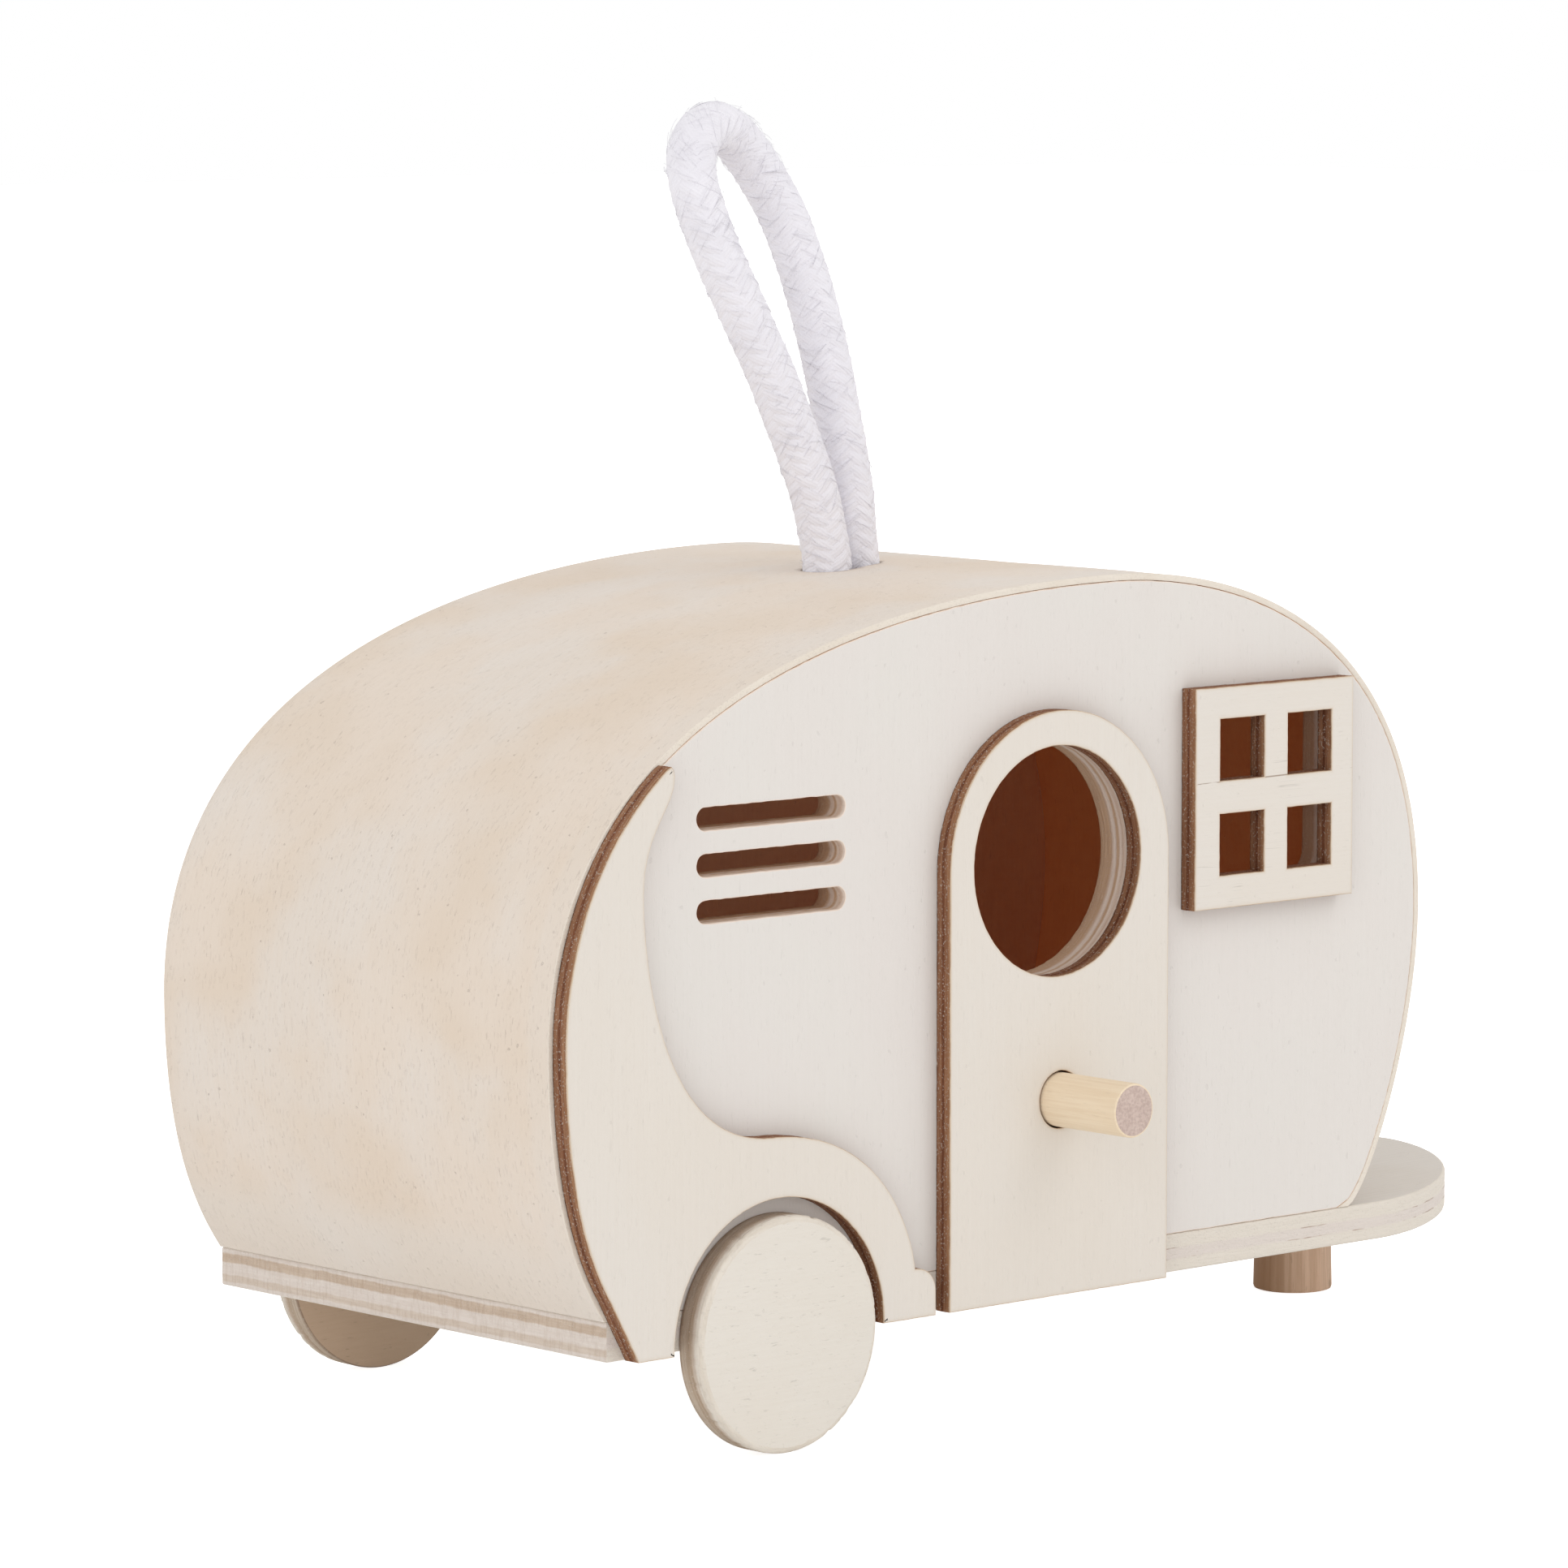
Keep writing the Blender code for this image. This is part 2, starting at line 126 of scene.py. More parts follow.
FLOOR_HALF = 6.0               # metres
floor_mesh = bmesh.new()
bmesh.ops.create_grid(floor_mesh, x_segments=1, y_segments=1, size=FLOOR_HALF)
floor_data = bpy.data.meshes.new("floor")
floor_mesh.to_mesh(floor_data)
floor_mesh.free()
floor = added("floor", floor_data)
paper = bpy.data.materials.new("white_paper")
paper.use_nodes = True
paper_shader = paper.node_tree.nodes["Principled BSDF"]
paper_shader.inputs["Base Color"].default_value = (0.80, 0.80, 0.80, 1.0)
paper_shader.inputs["Roughness"].default_value = 0.9
paper_shader.inputs["Emission Color"].default_value = (1.0, 1.0, 1.0, 1.0)
by_ray(paper.node_tree, paper_shader.inputs["Emission Strength"], 0.18, 0.80)
floor_data.materials.append(paper)

# ---------------------------------------------------------------- rope loop
# Soft 7.5 mm cotton rope, braided over a core from sixteen flat strands. Both ends go down through
# the long hole in the roof sheet, which they fill, and are knotted inside, so that the loop stands
# up and leans back. The cotton is fluffy, with short stray fibres all over it.
ROPE_D = 7.5
ROPE_HOLE = (85.1, 0.37)
LOOP_TURN = math.radians(15)
LEAN_TURN = math.atan2(0.67, -0.74)
# height over the base's underside, lean, and half of the distance between the legs
ROPE_ROUTE = [
    (103.6, 0.0, 3.9), (106.5, 0.1, 3.9), (110.0, 0.6, 4.1), (115.7, 1.4, 4.8),
    (121.8, 2.8, 5.7), (127.9, 4.5, 6.8), (134.0, 6.2, 7.9), (140.0, 8.2, 9.1),
    (146.0, 10.3, 10.1), (152.0, 12.6, 10.8), (157.5, 14.7, 10.8), (162.3, 16.7, 9.8),
    (166.4, 18.2, 7.8), (169.6, 18.9, 4.4), (170.9, 19.0, 0.0),
]
STRANDS_EACH_WAY = 8
STRAND_LAY = 16.0              # length of rope in which a strand goes once round
STRAND_W = 2.4
STRAND_T = 0.80
STRAND_WAVE = 0.09             # how far a strand rises and dips as it crosses the others
CORE_RISE = 0.20               # of the core's surface over the strands' middle
FIBRE_D = 0.060                # stray fibres
ROPE_WHITE = (0.87, 0.85, 0.895)
ROPE_GREY_AND_GROOVE_SHADE = (0.78, 0.76, 0.81)


def loop_route():
    """The rope's route in metres: up one leg, round the top and down the other leg."""
    points = []
    for side, half in ((-1, ROPE_ROUTE), (1, ROPE_ROUTE[-2::-1])):
        for height, lean, spread in half:
            x = ROPE_HOLE[0] + lean * math.cos(LEAN_TURN) + side * spread * math.cos(LOOP_TURN)
            y = ROPE_HOLE[1] + lean * math.sin(LEAN_TURN) + side * spread * math.sin(LOOP_TURN)
            points.append(at(x, y, height))
    return points


def smooth_path(route, step):
    """Points one step apart, in metres, on a smooth curve through the route's points."""
    padded = [2 * route[0] - route[1]] + route + [2 * route[-1] - route[-2]]
    fine = [route[0]]
    parts = 24
    for p0, p1, p2, p3 in zip(padded, padded[1:], padded[2:], padded[3:]):
        for i in range(1, parts + 1):
            t = i / parts
            fine.append(0.5 * (2 * p1 + (p2 - p0) * t + (2 * p0 - 5 * p1 + 4 * p2 - p3) * t * t
                               + (3 * p1 - 3 * p2 + p3 - p0) * t**3))
    fine = np.array(fine)
    run = np.concatenate([[0.0], np.cumsum(np.linalg.norm(np.diff(fine, axis=0), axis=1))])
    marks = np.linspace(0.0, run[-1], round(run[-1] / step) + 1)
    return np.stack([np.interp(marks, run, fine[:, k]) for k in range(3)], axis=1), marks


def cross_frames(points):
    """Two unit directions across a path at each of its points, turning as little as they can."""
    along = np.gradient(points, axis=0)
    along /= np.linalg.norm(along, axis=1)[:, None]
    first = np.cross(along[0], (0.3, 1.0, 0.2))
    firsts = []
    for way in along:
        first = first - way * np.dot(first, way)
        first = first / np.linalg.norm(first)
        firsts.append(first)
    firsts = np.array(firsts)
    return firsts, np.cross(along, firsts)


def swept(path, across_a, across_b, half_a, half_b, sides):
    """Corners and faces of a closed tube with an oval section that follows a path."""
    turn = np.linspace(0.0, 2 * math.pi, sides, endpoint=False)
    ring = across_a[:, None, :] * (half_a * np.cos(turn))[None, :, None]
    ring = ring + across_b[:, None, :] * (half_b * np.sin(turn))[None, :, None]
    corners = (path[:, None, :] + ring).reshape(-1, 3)
    faces = []
    for i in range(len(path) - 1):
        for k in range(sides):
            low, after = i * sides, (k + 1) % sides
            faces.append((low + k, low + after, low + sides + after, low + sides + k))
    faces.append(tuple(range(sides))[::-1])
    faces.append(tuple(range(len(corners) - sides, len(corners))))
    return corners, faces


def stray_fibre(chance, centre, over, flat, lift):
    """One short fibre that has worked loose from a strand and curls up from its outer side."""
    count = len(centre)
    start = int(chance.integers(4, count - 16))
    span = int(chance.integers(6, 12))
    spots = centre[start:start + span] + over[start:start + span] * lift
    share = np.linspace(0.0, 1.0, span)[:, None]
    rise = chance.uniform(0.05, 0.6) * MM * share**1.5
    aside = chance.uniform(-0.9, 0.9) * MM * share
    path = spots + over[start:start + span] * rise + flat[start:start + span] * aside
    half = FIBRE_D / 2 * MM
    return swept(path, flat[start:start + span], over[start:start + span], half, half, 3)


def braid(name, route, diameter, step, fibres):
    """Braided rope along a route: a plain core, strands that pass over two and under two of the
    others, and a number of stray fibres on each strand."""
    chance = np.random.default_rng(7)
    path, run = smooth_path(route, step * MM)
    side_a, side_b = cross_frames(path)
    scale = diameter / ROPE_D
    middle = (ROPE_D / 2 - STRAND_T / 2 - STRAND_WAVE) * scale * MM
    core = middle + CORE_RISE * scale * MM
    corners, faces = swept(path, side_a, side_b, core, core, 16)
    parts = [corners]
    lines = [np.zeros((len(corners), 3))]
    count = len(corners)
    lay = STRAND_LAY * scale * MM
    sides = 8
    for way in (1, -1):
        for strand in range(STRANDS_EACH_WAY):
            angle = way * 2 * math.pi * run / lay + 2 * math.pi * strand / STRANDS_EACH_WAY
            crossings = 2 * STRANDS_EACH_WAY * angle / (2 * math.pi)
            rise = way * np.cos((crossings - 0.5) * math.pi / 2)
            radius = middle + STRAND_WAVE * scale * MM * rise
            out = side_a * np.cos(angle)[:, None] + side_b * np.sin(angle)[:, None]
            centre = path + out * radius[:, None]
            along = np.gradient(centre, axis=0)
            along /= np.linalg.norm(along, axis=1)[:, None]
            over = out - along * np.sum(out * along, axis=1)[:, None]
            over /= np.linalg.norm(over, axis=1)[:, None]
            flat = np.cross(along, over)
            tube, tube_faces = swept(centre, flat, over, STRAND_W / 2 * scale * MM,
                                     STRAND_T / 2 * scale * MM, sides)
            parts.append(tube)
            faces += [tuple(v + count for v in face) for face in tube_faces]
            count += len(tube)
            turn = np.tile(np.linspace(0.0, 1.0, sides, endpoint=False), len(path))
            reach = np.repeat(run * 1.7, sides)
            tag = np.full(len(tube), way * (strand + 1) * 0.37)
            lines.append(np.stack([turn, reach / MM, tag], axis=1))
            for _ in range(fibres):
                fibre, fibre_faces = stray_fibre(chance, centre, over, flat, STRAND_T / 2 * scale * MM)
                parts.append(fibre)
                lines.append(np.zeros((len(fibre), 3)))
                faces += [tuple(v + count for v in face) for face in fibre_faces]
                count += len(fibre)
    mesh = bpy.data.meshes.new(name)
    mesh.from_pydata(np.concatenate(parts).tolist(), [], faces)
    mesh.shade_smooth()
    yarn = mesh.attributes.new("yarn", "FLOAT_VECTOR", "POINT")
    yarn.data.foreach_set("vector", np.concatenate(lines).astype(np.float32).ravel())
    return added(name, mesh), path


def material(name, roughness, specular=0.35):
    """Named material with its Principled shader's plain values set."""
    made = bpy.data.materials.new(name)
    made.use_nodes = True
    shader = made.node_tree.nodes["Principled BSDF"]
    shader.inputs["Roughness"].default_value = roughness
    shader.inputs["Specular IOR Level"].default_value = specular
    return made, made.node_tree, shader


def colour(rgb):
    """Four numbers of a colour given as three."""
    return (*rgb, 1.0)


def blend(tree, factor, first, second):
    """Mix of two colours, each a plain colour or a socket; returns the mixed colour's socket."""
    mix = tree.nodes.new("ShaderNodeMix")
    mix.data_type = "RGBA"
    mix.clamp_factor = True
    for value, socket in ((factor, mix.inputs[0]), (first, mix.inputs[6]), (second, mix.inputs[7])):
        if isinstance(value, bpy.types.NodeSocket):
            tree.links.new(value, socket)
        elif isinstance(value, (int, float)):
            socket.default_value = value
        else:
            socket.default_value = colour(value)
    return mix.outputs[2]


def math_node(tree, operation, first, second=0.0, third=0.0):
    """Result of one arithmetic step on numbers or sockets."""
    node = tree.nodes.new("ShaderNodeMath")
    node.operation = operation
    for value, socket in zip((first, second, third), node.inputs):
        if isinstance(value, bpy.types.NodeSocket):
            tree.links.new(value, socket)
        else:
            socket.default_value = value
    return node.outputs[0]


def bump(tree, shader, height, depth, strength=1.0):
    """Bump from a height socket; depth is the relief in millimetres for a height of one."""
    node = tree.nodes.new("ShaderNodeBump")
    node.inputs["Strength"].default_value = strength
    node.inputs["Distance"].default_value = depth * MM
    tree.links.new(height, node.inputs["Height"])
    tree.links.new(node.outputs["Normal"], shader.inputs["Normal"])


def rope_material():
    """White cotton: fine yarns run along each flat strand, soft, fluffy and without gloss."""
    made, tree, shader = material("braided_cotton", 0.95, 0.1)
    shader.inputs["Sheen Weight"].default_value = 0.35
    shader.inputs["Sheen Roughness"].default_value = 0.5
    yarn = tree.nodes.new("ShaderNodeAttribute")
    yarn.attribute_name = "yarn"
    split = tree.nodes.new("ShaderNodeSeparateXYZ")
    tree.links.new(yarn.outputs["Vector"], split.inputs[0])
    twist = math_node(tree, "MULTIPLY_ADD", split.outputs["X"], 14.0 * 2 * math.pi,
                      math_node(tree, "MULTIPLY", split.outputs["Y"], 2.2))
    ridge = math_node(tree, "MULTIPLY_ADD", math_node(tree, "SINE", twist), 0.5, 0.5)
    place = tree.nodes.new("ShaderNodeTexCoord")
    fuzz = tree.nodes.new("ShaderNodeTexNoise")
    fuzz.inputs["Scale"].default_value = 3200.0
    fuzz.inputs["Detail"].default_value = 3.0
    tree.links.new(place.outputs["Object"], fuzz.inputs["Vector"])
    low = math_node(tree, "MULTIPLY", ridge, 0.5)
    height = math_node(tree, "MULTIPLY_ADD", fuzz.outputs["Fac"], 1.2, low)
    cloud = tree.nodes.new("ShaderNodeTexNoise")
    cloud.inputs["Scale"].default_value = 160.0
    tree.links.new(place.outputs["Object"], cloud.inputs["Vector"])
    dull = math_node(tree, "MULTIPLY_ADD", cloud.outputs["Fac"], 1.4, -0.35)
    tint = blend(tree, dull, ROPE_WHITE, ROPE_GREY_AND_GROOVE_SHADE)
    # Painted shade: the grooves between the yarns are darkened towards the grey tint, which also serves for
    # the cotton's random greyer patches above.
    tint = blend(tree, math_node(tree, "MULTIPLY_ADD", ridge, -0.3, 0.3), tint, ROPE_GREY_AND_GROOVE_SHADE)
    tree.links.new(tint, shader.inputs["Base Color"])
    bump(tree, shader, height, 0.08, 0.7)
    return made


rope, rope_path = braid("rope_loop_braid", loop_route(), ROPE_D, 0.26, 75)
cotton = rope_material()
rope.data.materials.append(cotton)
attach(rope, "root")
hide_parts("rope_loop")

# ---------------------------------------------------------------- rope knot
# The two ends are tied in one round knot that is pulled up under the roof sheet and is too wide for
# the hole. It is the same rope, squeezed a little where it crosses itself.
knot_low, knot_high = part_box("rope_knot")
KNOT_ROPE_D = 7.0


def knot_route():
    """Closed three-lobed knot that fills the space under the hole, in metres."""
    middle = (knot_low + knot_high) / 2
    reach = (knot_high.x - knot_low.x) / 2 - KNOT_ROPE_D / 2 * MM
    rise = (knot_high.z - knot_low.z) / 2 - KNOT_ROPE_D / 2 * MM
    points = []
    turns = 60
    for i in range(turns + 1):
        t = 2 * math.pi * i / turns
        x = (math.sin(t) + 2 * math.sin(2 * t)) / 3
        y = (math.cos(t) - 2 * math.cos(2 * t)) / 3
        points.append(middle + Vector((x * reach, y * reach, -math.sin(3 * t) * rise)))
    return points


knot, _ = braid("rope_knot_braid", knot_route(), KNOT_ROPE_D, 0.5, 12)
knot.data.materials.append(cotton)
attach(knot, "root")
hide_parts("rope_knot")

# ---------------------------------------------------------------- base board
# Five-ply birch board, sawn square at the rear and rounded at the tongue, then sanded. Its sawn
# edges are left bare and show the plies as light and brown bands with a thin glue line between.
TONGUE_START = 158.15
TONGUE_POWER = 1.58
TONGUE_LENGTH = (base_high.x - base_low.x) / MM - TONGUE_START
BASE_HALF = (base_high.y - base_low.y) / 2 / MM


def vec(x, y):
    """Point in the plane of a board."""
    return Vector((x, y))


def heading(angle):
    """Unit vector at an angle from the first axis."""
    return vec(math.cos(angle), math.sin(angle))


def arc(centre, radius, start, end, steps):
    """Points of a circular arc from one angle to another, both ends included."""
    return [centre + radius * heading(start + (end - start) * i / steps) for i in range(steps + 1)]


def circle(centre, radius, sides=96):
    """Points of a full circle."""
    return [centre + radius * heading(math.tau * i / sides) for i in range(sides)]


def divided(loop, step):
    """Closed outline with extra points, so that no side is longer than a step."""
    points = []
    for a, b in zip(loop, loop[1:] + loop[:1]):
        parts = max(1, math.ceil((b - a).length / step))
        points += [a.lerp(b, i / parts) for i in range(parts)]
    return points


def turned_left(loop, left):
    """The closed outline running anticlockwise if left is true, or else clockwise."""
    area = sum(a.x * b.y - b.x * a.y for a, b in zip(loop, loop[1:] + loop[:1]))
    return loop if (area > 0) == left else loop[::-1]


def moved_in(loop, depths):
    """Outline moved to its left, each point by its own depth, with corners kept as mitres."""
    count = len(loop)
    moved = []
    for i, point in enumerate(loop):
        before = (point - loop[i - 1]).normalized()
        after = (loop[(i + 1) % count] - point).normalized()
        along = (before + after).normalized()
        stretch = 1 / max(along.dot(after), 0.5)
        moved.append(point + vec(-along.y, along.x) * depths[i] * stretch)
    return moved


def wall_profile(thickness, ease, rings):
    """Depth from the face and distance from the edge of each ring down a cut edge."""
    profile = []
    bends = 3
    for i in range(bends + 1):
        turn = 0.5 * math.pi * i / bends
        profile.append((ease * (1 - math.cos(turn)), ease * (1 - math.sin(turn))))
    for i in range(1, rings):
        profile.append((ease + (thickness - 2 * ease) * i / rings, 0.0))
    return profile + [(thickness - depth, inset) for depth, inset in profile[bends::-1]]


def meshed(name, shape, sharp):
    """Object made from a bmesh, its normals outward and its edges sharp from an angle in degrees."""
    bmesh.ops.recalc_face_normals(shape, faces=shape.faces[:])
    mesh = bpy.data.meshes.new(name)
    shape.to_mesh(mesh)
    shape.free()
    mesh.set_sharp_from_angle(angle=math.radians(sharp))
    return added(name, mesh)


def board(name, loops, lay, thickness, ease=0.2, rim=1.2, rough=0.02, step=1.0, seed=0.0, rings=6):
    """Board cut to closed outlines, the first its outside and the others its holes.

    lay turns (u, v, depth from the face) in millimetres into a place. The faces are in material
    slot 0, the cut edges in slot 1 and the back in slot 2, and the point attribute rim is 1 at
    the edge of a face and falls to 0 within the rim's width.
    """
    shape = bmesh.new()
    tag = shape.verts.layers.float.new("rim")
    profile = wall_profile(thickness, ease, rings)
    face_loops, back_loops = [], []
    for number, loop in enumerate(loops):
        loop = turned_left(divided(loop, step), number == 0)
        rows = []
        stages = [(0.0, ease + rim, 0.0)] + [(d, i, 1.0) for d, i in profile]
        stages.append((thickness, ease + rim, 0.0))
        for depth, inset, edge in stages:
            shake = [inset + rough * edge * noise.noise(Vector((p.x * 1.1, p.y * 1.1, depth * 1.6 + seed)))
                     for p in loop]
            row = []
            for p in moved_in(loop, shake):
                corner = shape.verts.new(lay(p.x, p.y, depth))
                corner[tag] = edge
                row.append(corner)
            rows.append(row)
        for level, (low, high) in enumerate(zip(rows, rows[1:])):
            for k in range(len(low)):
                after = (k + 1) % len(low)
                side = shape.faces.new((low[k], low[after], high[after], high[k]))
                side.material_index = 0 if level == 0 else 2 if level == len(rows) - 2 else 1
                side.smooth = 0 < level < len(rows) - 2
        face_loops.append(rows[0])
        back_loops.append(rows[-1])
    for rows, slot in ((face_loops, 0), (back_loops, 2)):
        sides = []
        for row in rows:
            sides += [shape.edges.get((a, b)) for a, b in zip(row, row[1:] + row[:1])]
        filled = bmesh.ops.triangle_fill(shape, edges=sides, use_beauty=True)
        for item in filled["geom"]:
            if isinstance(item, bmesh.types.BMFace):
                item.material_index = slot
    return meshed(name, shape, 38)


def put(piece, materials, node):
    """Gives a piece its materials and lets it stand for its node."""
    for made in materials:
        piece.data.materials.append(made)
    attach(piece, "root")
    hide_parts(node)


def new_group(name, inputs, outputs):
    """Empty shader node group with named sockets; inputs are (name, kind, default)."""
    group = bpy.data.node_groups.new(name, "ShaderNodeTree")
    for label, kind, value in inputs:
        socket = group.interface.new_socket(label, in_out="INPUT", socket_type="NodeSocket" + kind)
        socket.default_value = value
    for label in outputs:
        group.interface.new_socket(label, in_out="OUTPUT", socket_type="NodeSocketFloat")
    return group, group.nodes.new("NodeGroupInput"), group.nodes.new("NodeGroupOutput")


def use(tree, group, **values):
    """A group placed in a material, its inputs set by name with _ for each space."""
    node = tree.nodes.new("ShaderNodeGroup")
    node.node_tree = group
    for label, value in values.items():
        socket = node.inputs[label.replace("_", " ")]
        if isinstance(value, bpy.types.NodeSocket):
            tree.links.new(value, socket)
        else:
            socket.default_value = value
    return node.outputs


def noise_node(tree, vector, detail=2.0, rough=0.5):
    """Noise texture of scale one on a vector socket; returns its value."""
    node = tree.nodes.new("ShaderNodeTexNoise")
    node.inputs["Scale"].default_value = 1.0
    node.inputs["Detail"].default_value = detail
    node.inputs["Roughness"].default_value = rough
    tree.links.new(vector, node.inputs["Vector"])
    return node.outputs["Fac"]


def vector_node(tree, operation, first, second):
    """Result of one step of vector arithmetic on sockets or plain vectors."""
    node = tree.nodes.new("ShaderNodeVectorMath")
    node.operation = operation
    for value, socket in zip((first, second), node.inputs):
        if isinstance(value, bpy.types.NodeSocket):
            tree.links.new(value, socket)
        else:
            socket.default_value = value
    return node.outputs["Value"] if operation == "DOT_PRODUCT" else node.outputs["Vector"]


def ramp(tree, value, low, high):
    """Smooth step of a value from 0 at low to 1 at high."""
    node = tree.nodes.new("ShaderNodeMapRange")
    node.interpolation_type = "SMOOTHSTEP"
    node.inputs["From Min"].default_value = low
    node.inputs["From Max"].default_value = high
    tree.links.new(value, node.inputs["Value"])
    return node.outputs["Result"]


def grain_group():
    """Wood grain: long fine streaks, short dark flecks, hairline checks and raised fibres.

    Place is in millimetres. Per mm is how many streaks fit in a millimetre along each of its axes:
    small along the grain.
    """
    group, given, result = new_group(
        "wood_grain",
        [("Place", "Vector", (0.0, 0.0, 0.0)), ("Per mm", "Vector", (3.0, 3.0, 0.05)),
         ("Seed", "Float", 0.0)],
        ["Streak", "Fleck", "Check", "Raised", "Height"])
    spread = vector_node(group, "MULTIPLY", given.outputs["Place"], given.outputs["Per mm"])
    shift = vector_node(group, "ADD", spread, (0.0, 0.0, 0.0))
    group.links.new(given.outputs["Seed"], shift.node.inputs[1])
    streak = noise_node(group, shift, 4.0, 0.6)
    third = vector_node(group, "MULTIPLY", given.outputs["Place"], (0.33, 0.33, 0.33))
    short = vector_node(group, "ADD", shift, third)
    fleck = ramp(group, noise_node(group, short, 2.0, 0.5), 0.66, 0.76)
    other = vector_node(group, "ADD", vector_node(group, "ADD", short, third), (17.3, 5.1, 9.7))
    raised = ramp(group, noise_node(group, other, 1.0, 0.5), 0.62, 0.74)
    slow = vector_node(group, "MULTIPLY", shift, (0.22, 0.22, 0.22))
    line = math_node(group, "ABSOLUTE", math_node(group, "SUBTRACT", noise_node(group, slow, 2.0, 0.5), 0.5))
    place = vector_node(group, "ADD", vector_node(group, "MULTIPLY", third, (0.3, 0.3, 0.3)), (3.0, 8.0, 1.0))
    here = ramp(group, noise_node(group, place, 2.0, 0.5), 0.58, 0.64)
    check = math_node(group, "MULTIPLY", ramp(group, line, 0.010, 0.003), here)
    group.links.new(ramp(group, streak, 0.3, 0.7), result.inputs["Streak"])
    group.links.new(fleck, result.inputs["Fleck"])
    group.links.new(check, result.inputs["Check"])
    group.links.new(raised, result.inputs["Raised"])
    low = math_node(group, "MULTIPLY_ADD", fleck, -0.6, streak)
    group.links.new(math_node(group, "MULTIPLY_ADD", raised, 0.8, low), result.inputs["Height"])
    return group


def stain_group():
    """Broad soft patches of a sanded veneer, in two kinds, and small dark pits. Place is in
    millimetres."""
    group, given, result = new_group(
        "veneer_stains",
        [("Place", "Vector", (0.0, 0.0, 0.0)), ("Patch per mm", "Vector", (0.03, 0.03, 0.03)),
         ("Seed", "Float", 0.0)],
        ["Patch", "Second", "Pit"])
    spread = vector_node(group, "MULTIPLY", given.outputs["Place"], given.outputs["Patch per mm"])
    shift = vector_node(group, "ADD", spread, (0.0, 0.0, 0.0))
    group.links.new(given.outputs["Seed"], shift.node.inputs[1])
    patch = ramp(group, noise_node(group, shift, 3.0, 0.55), 0.36, 0.66)
    other = vector_node(group, "ADD", shift, (31.7, 12.9, 7.3))
    second = ramp(group, noise_node(group, other, 3.0, 0.55), 0.42, 0.68)
    fine = vector_node(group, "MULTIPLY", given.outputs["Place"], (1.1, 1.1, 0.7))
    pit = ramp(group, noise_node(group, fine, 1.0, 0.4), 0.75, 0.81)
    group.links.new(patch, result.inputs["Patch"])
    group.links.new(second, result.inputs["Second"])
    group.links.new(pit, result.inputs["Pit"])
    return group


def cut_group():
    """How deep a point lies in the plies of a cut edge, with the marks of the saw or the beam.

    Fibre runs along the edge, Tick across it, Speckle is fine and even, and Broken is 1 on the
    stretches where a glue line has opened.
    """
    group, given, result = new_group(
        "cut_plies",
        [("Normal", "Vector", (0.0, 1.0, 0.0)), ("Start", "Float", 0.0),
         ("Thickness", "Float", 0.003), ("Wobble", "Float", 0.03)],
        ["Depth", "Fibre", "Tick", "Speckle", "Broken"])
    spot = group.nodes.new("ShaderNodeTexCoord").outputs["Object"]
    height = vector_node(group, "DOT_PRODUCT", spot, given.outputs["Normal"])
    past = math_node(group, "SUBTRACT", height, given.outputs["Start"])
    share = math_node(group, "DIVIDE", past, given.outputs["Thickness"])
    wide = vector_node(group, "MULTIPLY", spot, (220.0, 220.0, 220.0))
    drift = math_node(group, "SUBTRACT", noise_node(group, wide, 3.0, 0.6), 0.5)
    depth = math_node(group, "MULTIPLY_ADD", drift, given.outputs["Wobble"], share)
    across = vector_node(group, "MULTIPLY", given.outputs["Normal"], (2700.0,) * 3)
    thin = vector_node(group, "MULTIPLY", spot, vector_node(group, "ADD", across, (110.0,) * 3))
    around = vector_node(group, "MULTIPLY", given.outputs["Normal"], (-1900.0,) * 3)
    upright = vector_node(group, "MULTIPLY", spot, vector_node(group, "ADD", around, (2300.0,) * 3))
    fine = vector_node(group, "MULTIPLY", spot, (3000.0,) * 3)
    still = vector_node(group, "MULTIPLY", given.outputs["Normal"], (-70.0,) * 3)
    stretch = vector_node(group, "MULTIPLY", spot, vector_node(group, "ADD", still, (100.0,) * 3))
    group.links.new(depth, result.inputs["Depth"])
    group.links.new(ramp(group, noise_node(group, thin, 3.0, 0.6), 0.32, 0.68), result.inputs["Fibre"])
    group.links.new(ramp(group, noise_node(group, upright, 2.0, 0.6), 0.45, 0.68), result.inputs["Tick"])
    group.links.new(ramp(group, noise_node(group, fine, 2.0, 0.6), 0.56, 0.70), result.inputs["Speckle"])
    group.links.new(ramp(group, noise_node(group, stretch, 3.0, 0.7), 0.50, 0.58), result.inputs["Broken"])
    return group


wood_grain = grain_group()
veneer_stains = stain_group()
cut_plies = cut_group()


def overlay(made, mask, amount, tint):
    """Lays a second colour over a material's own, as strong as the mask times an amount."""
    tree = made.node_tree
    base = tree.nodes["Principled BSDF"].inputs["Base Color"]
    share = math_node(tree, "MULTIPLY", mask, amount)
    tree.links.new(blend(tree, share, base.links[0].from_socket, tint), base)


def in_mm(tree, laid):
    """Place on a face in millimetres: from the named map of a bent sheet, or from the object."""
    if laid:
        sheet = tree.nodes.new("ShaderNodeUVMap")
        sheet.uv_map = laid
        return sheet.outputs["UV"]
    place = tree.nodes.new("ShaderNodeTexCoord")
    return vector_node(tree, "MULTIPLY", place.outputs["Object"], (1 / MM,) * 3)


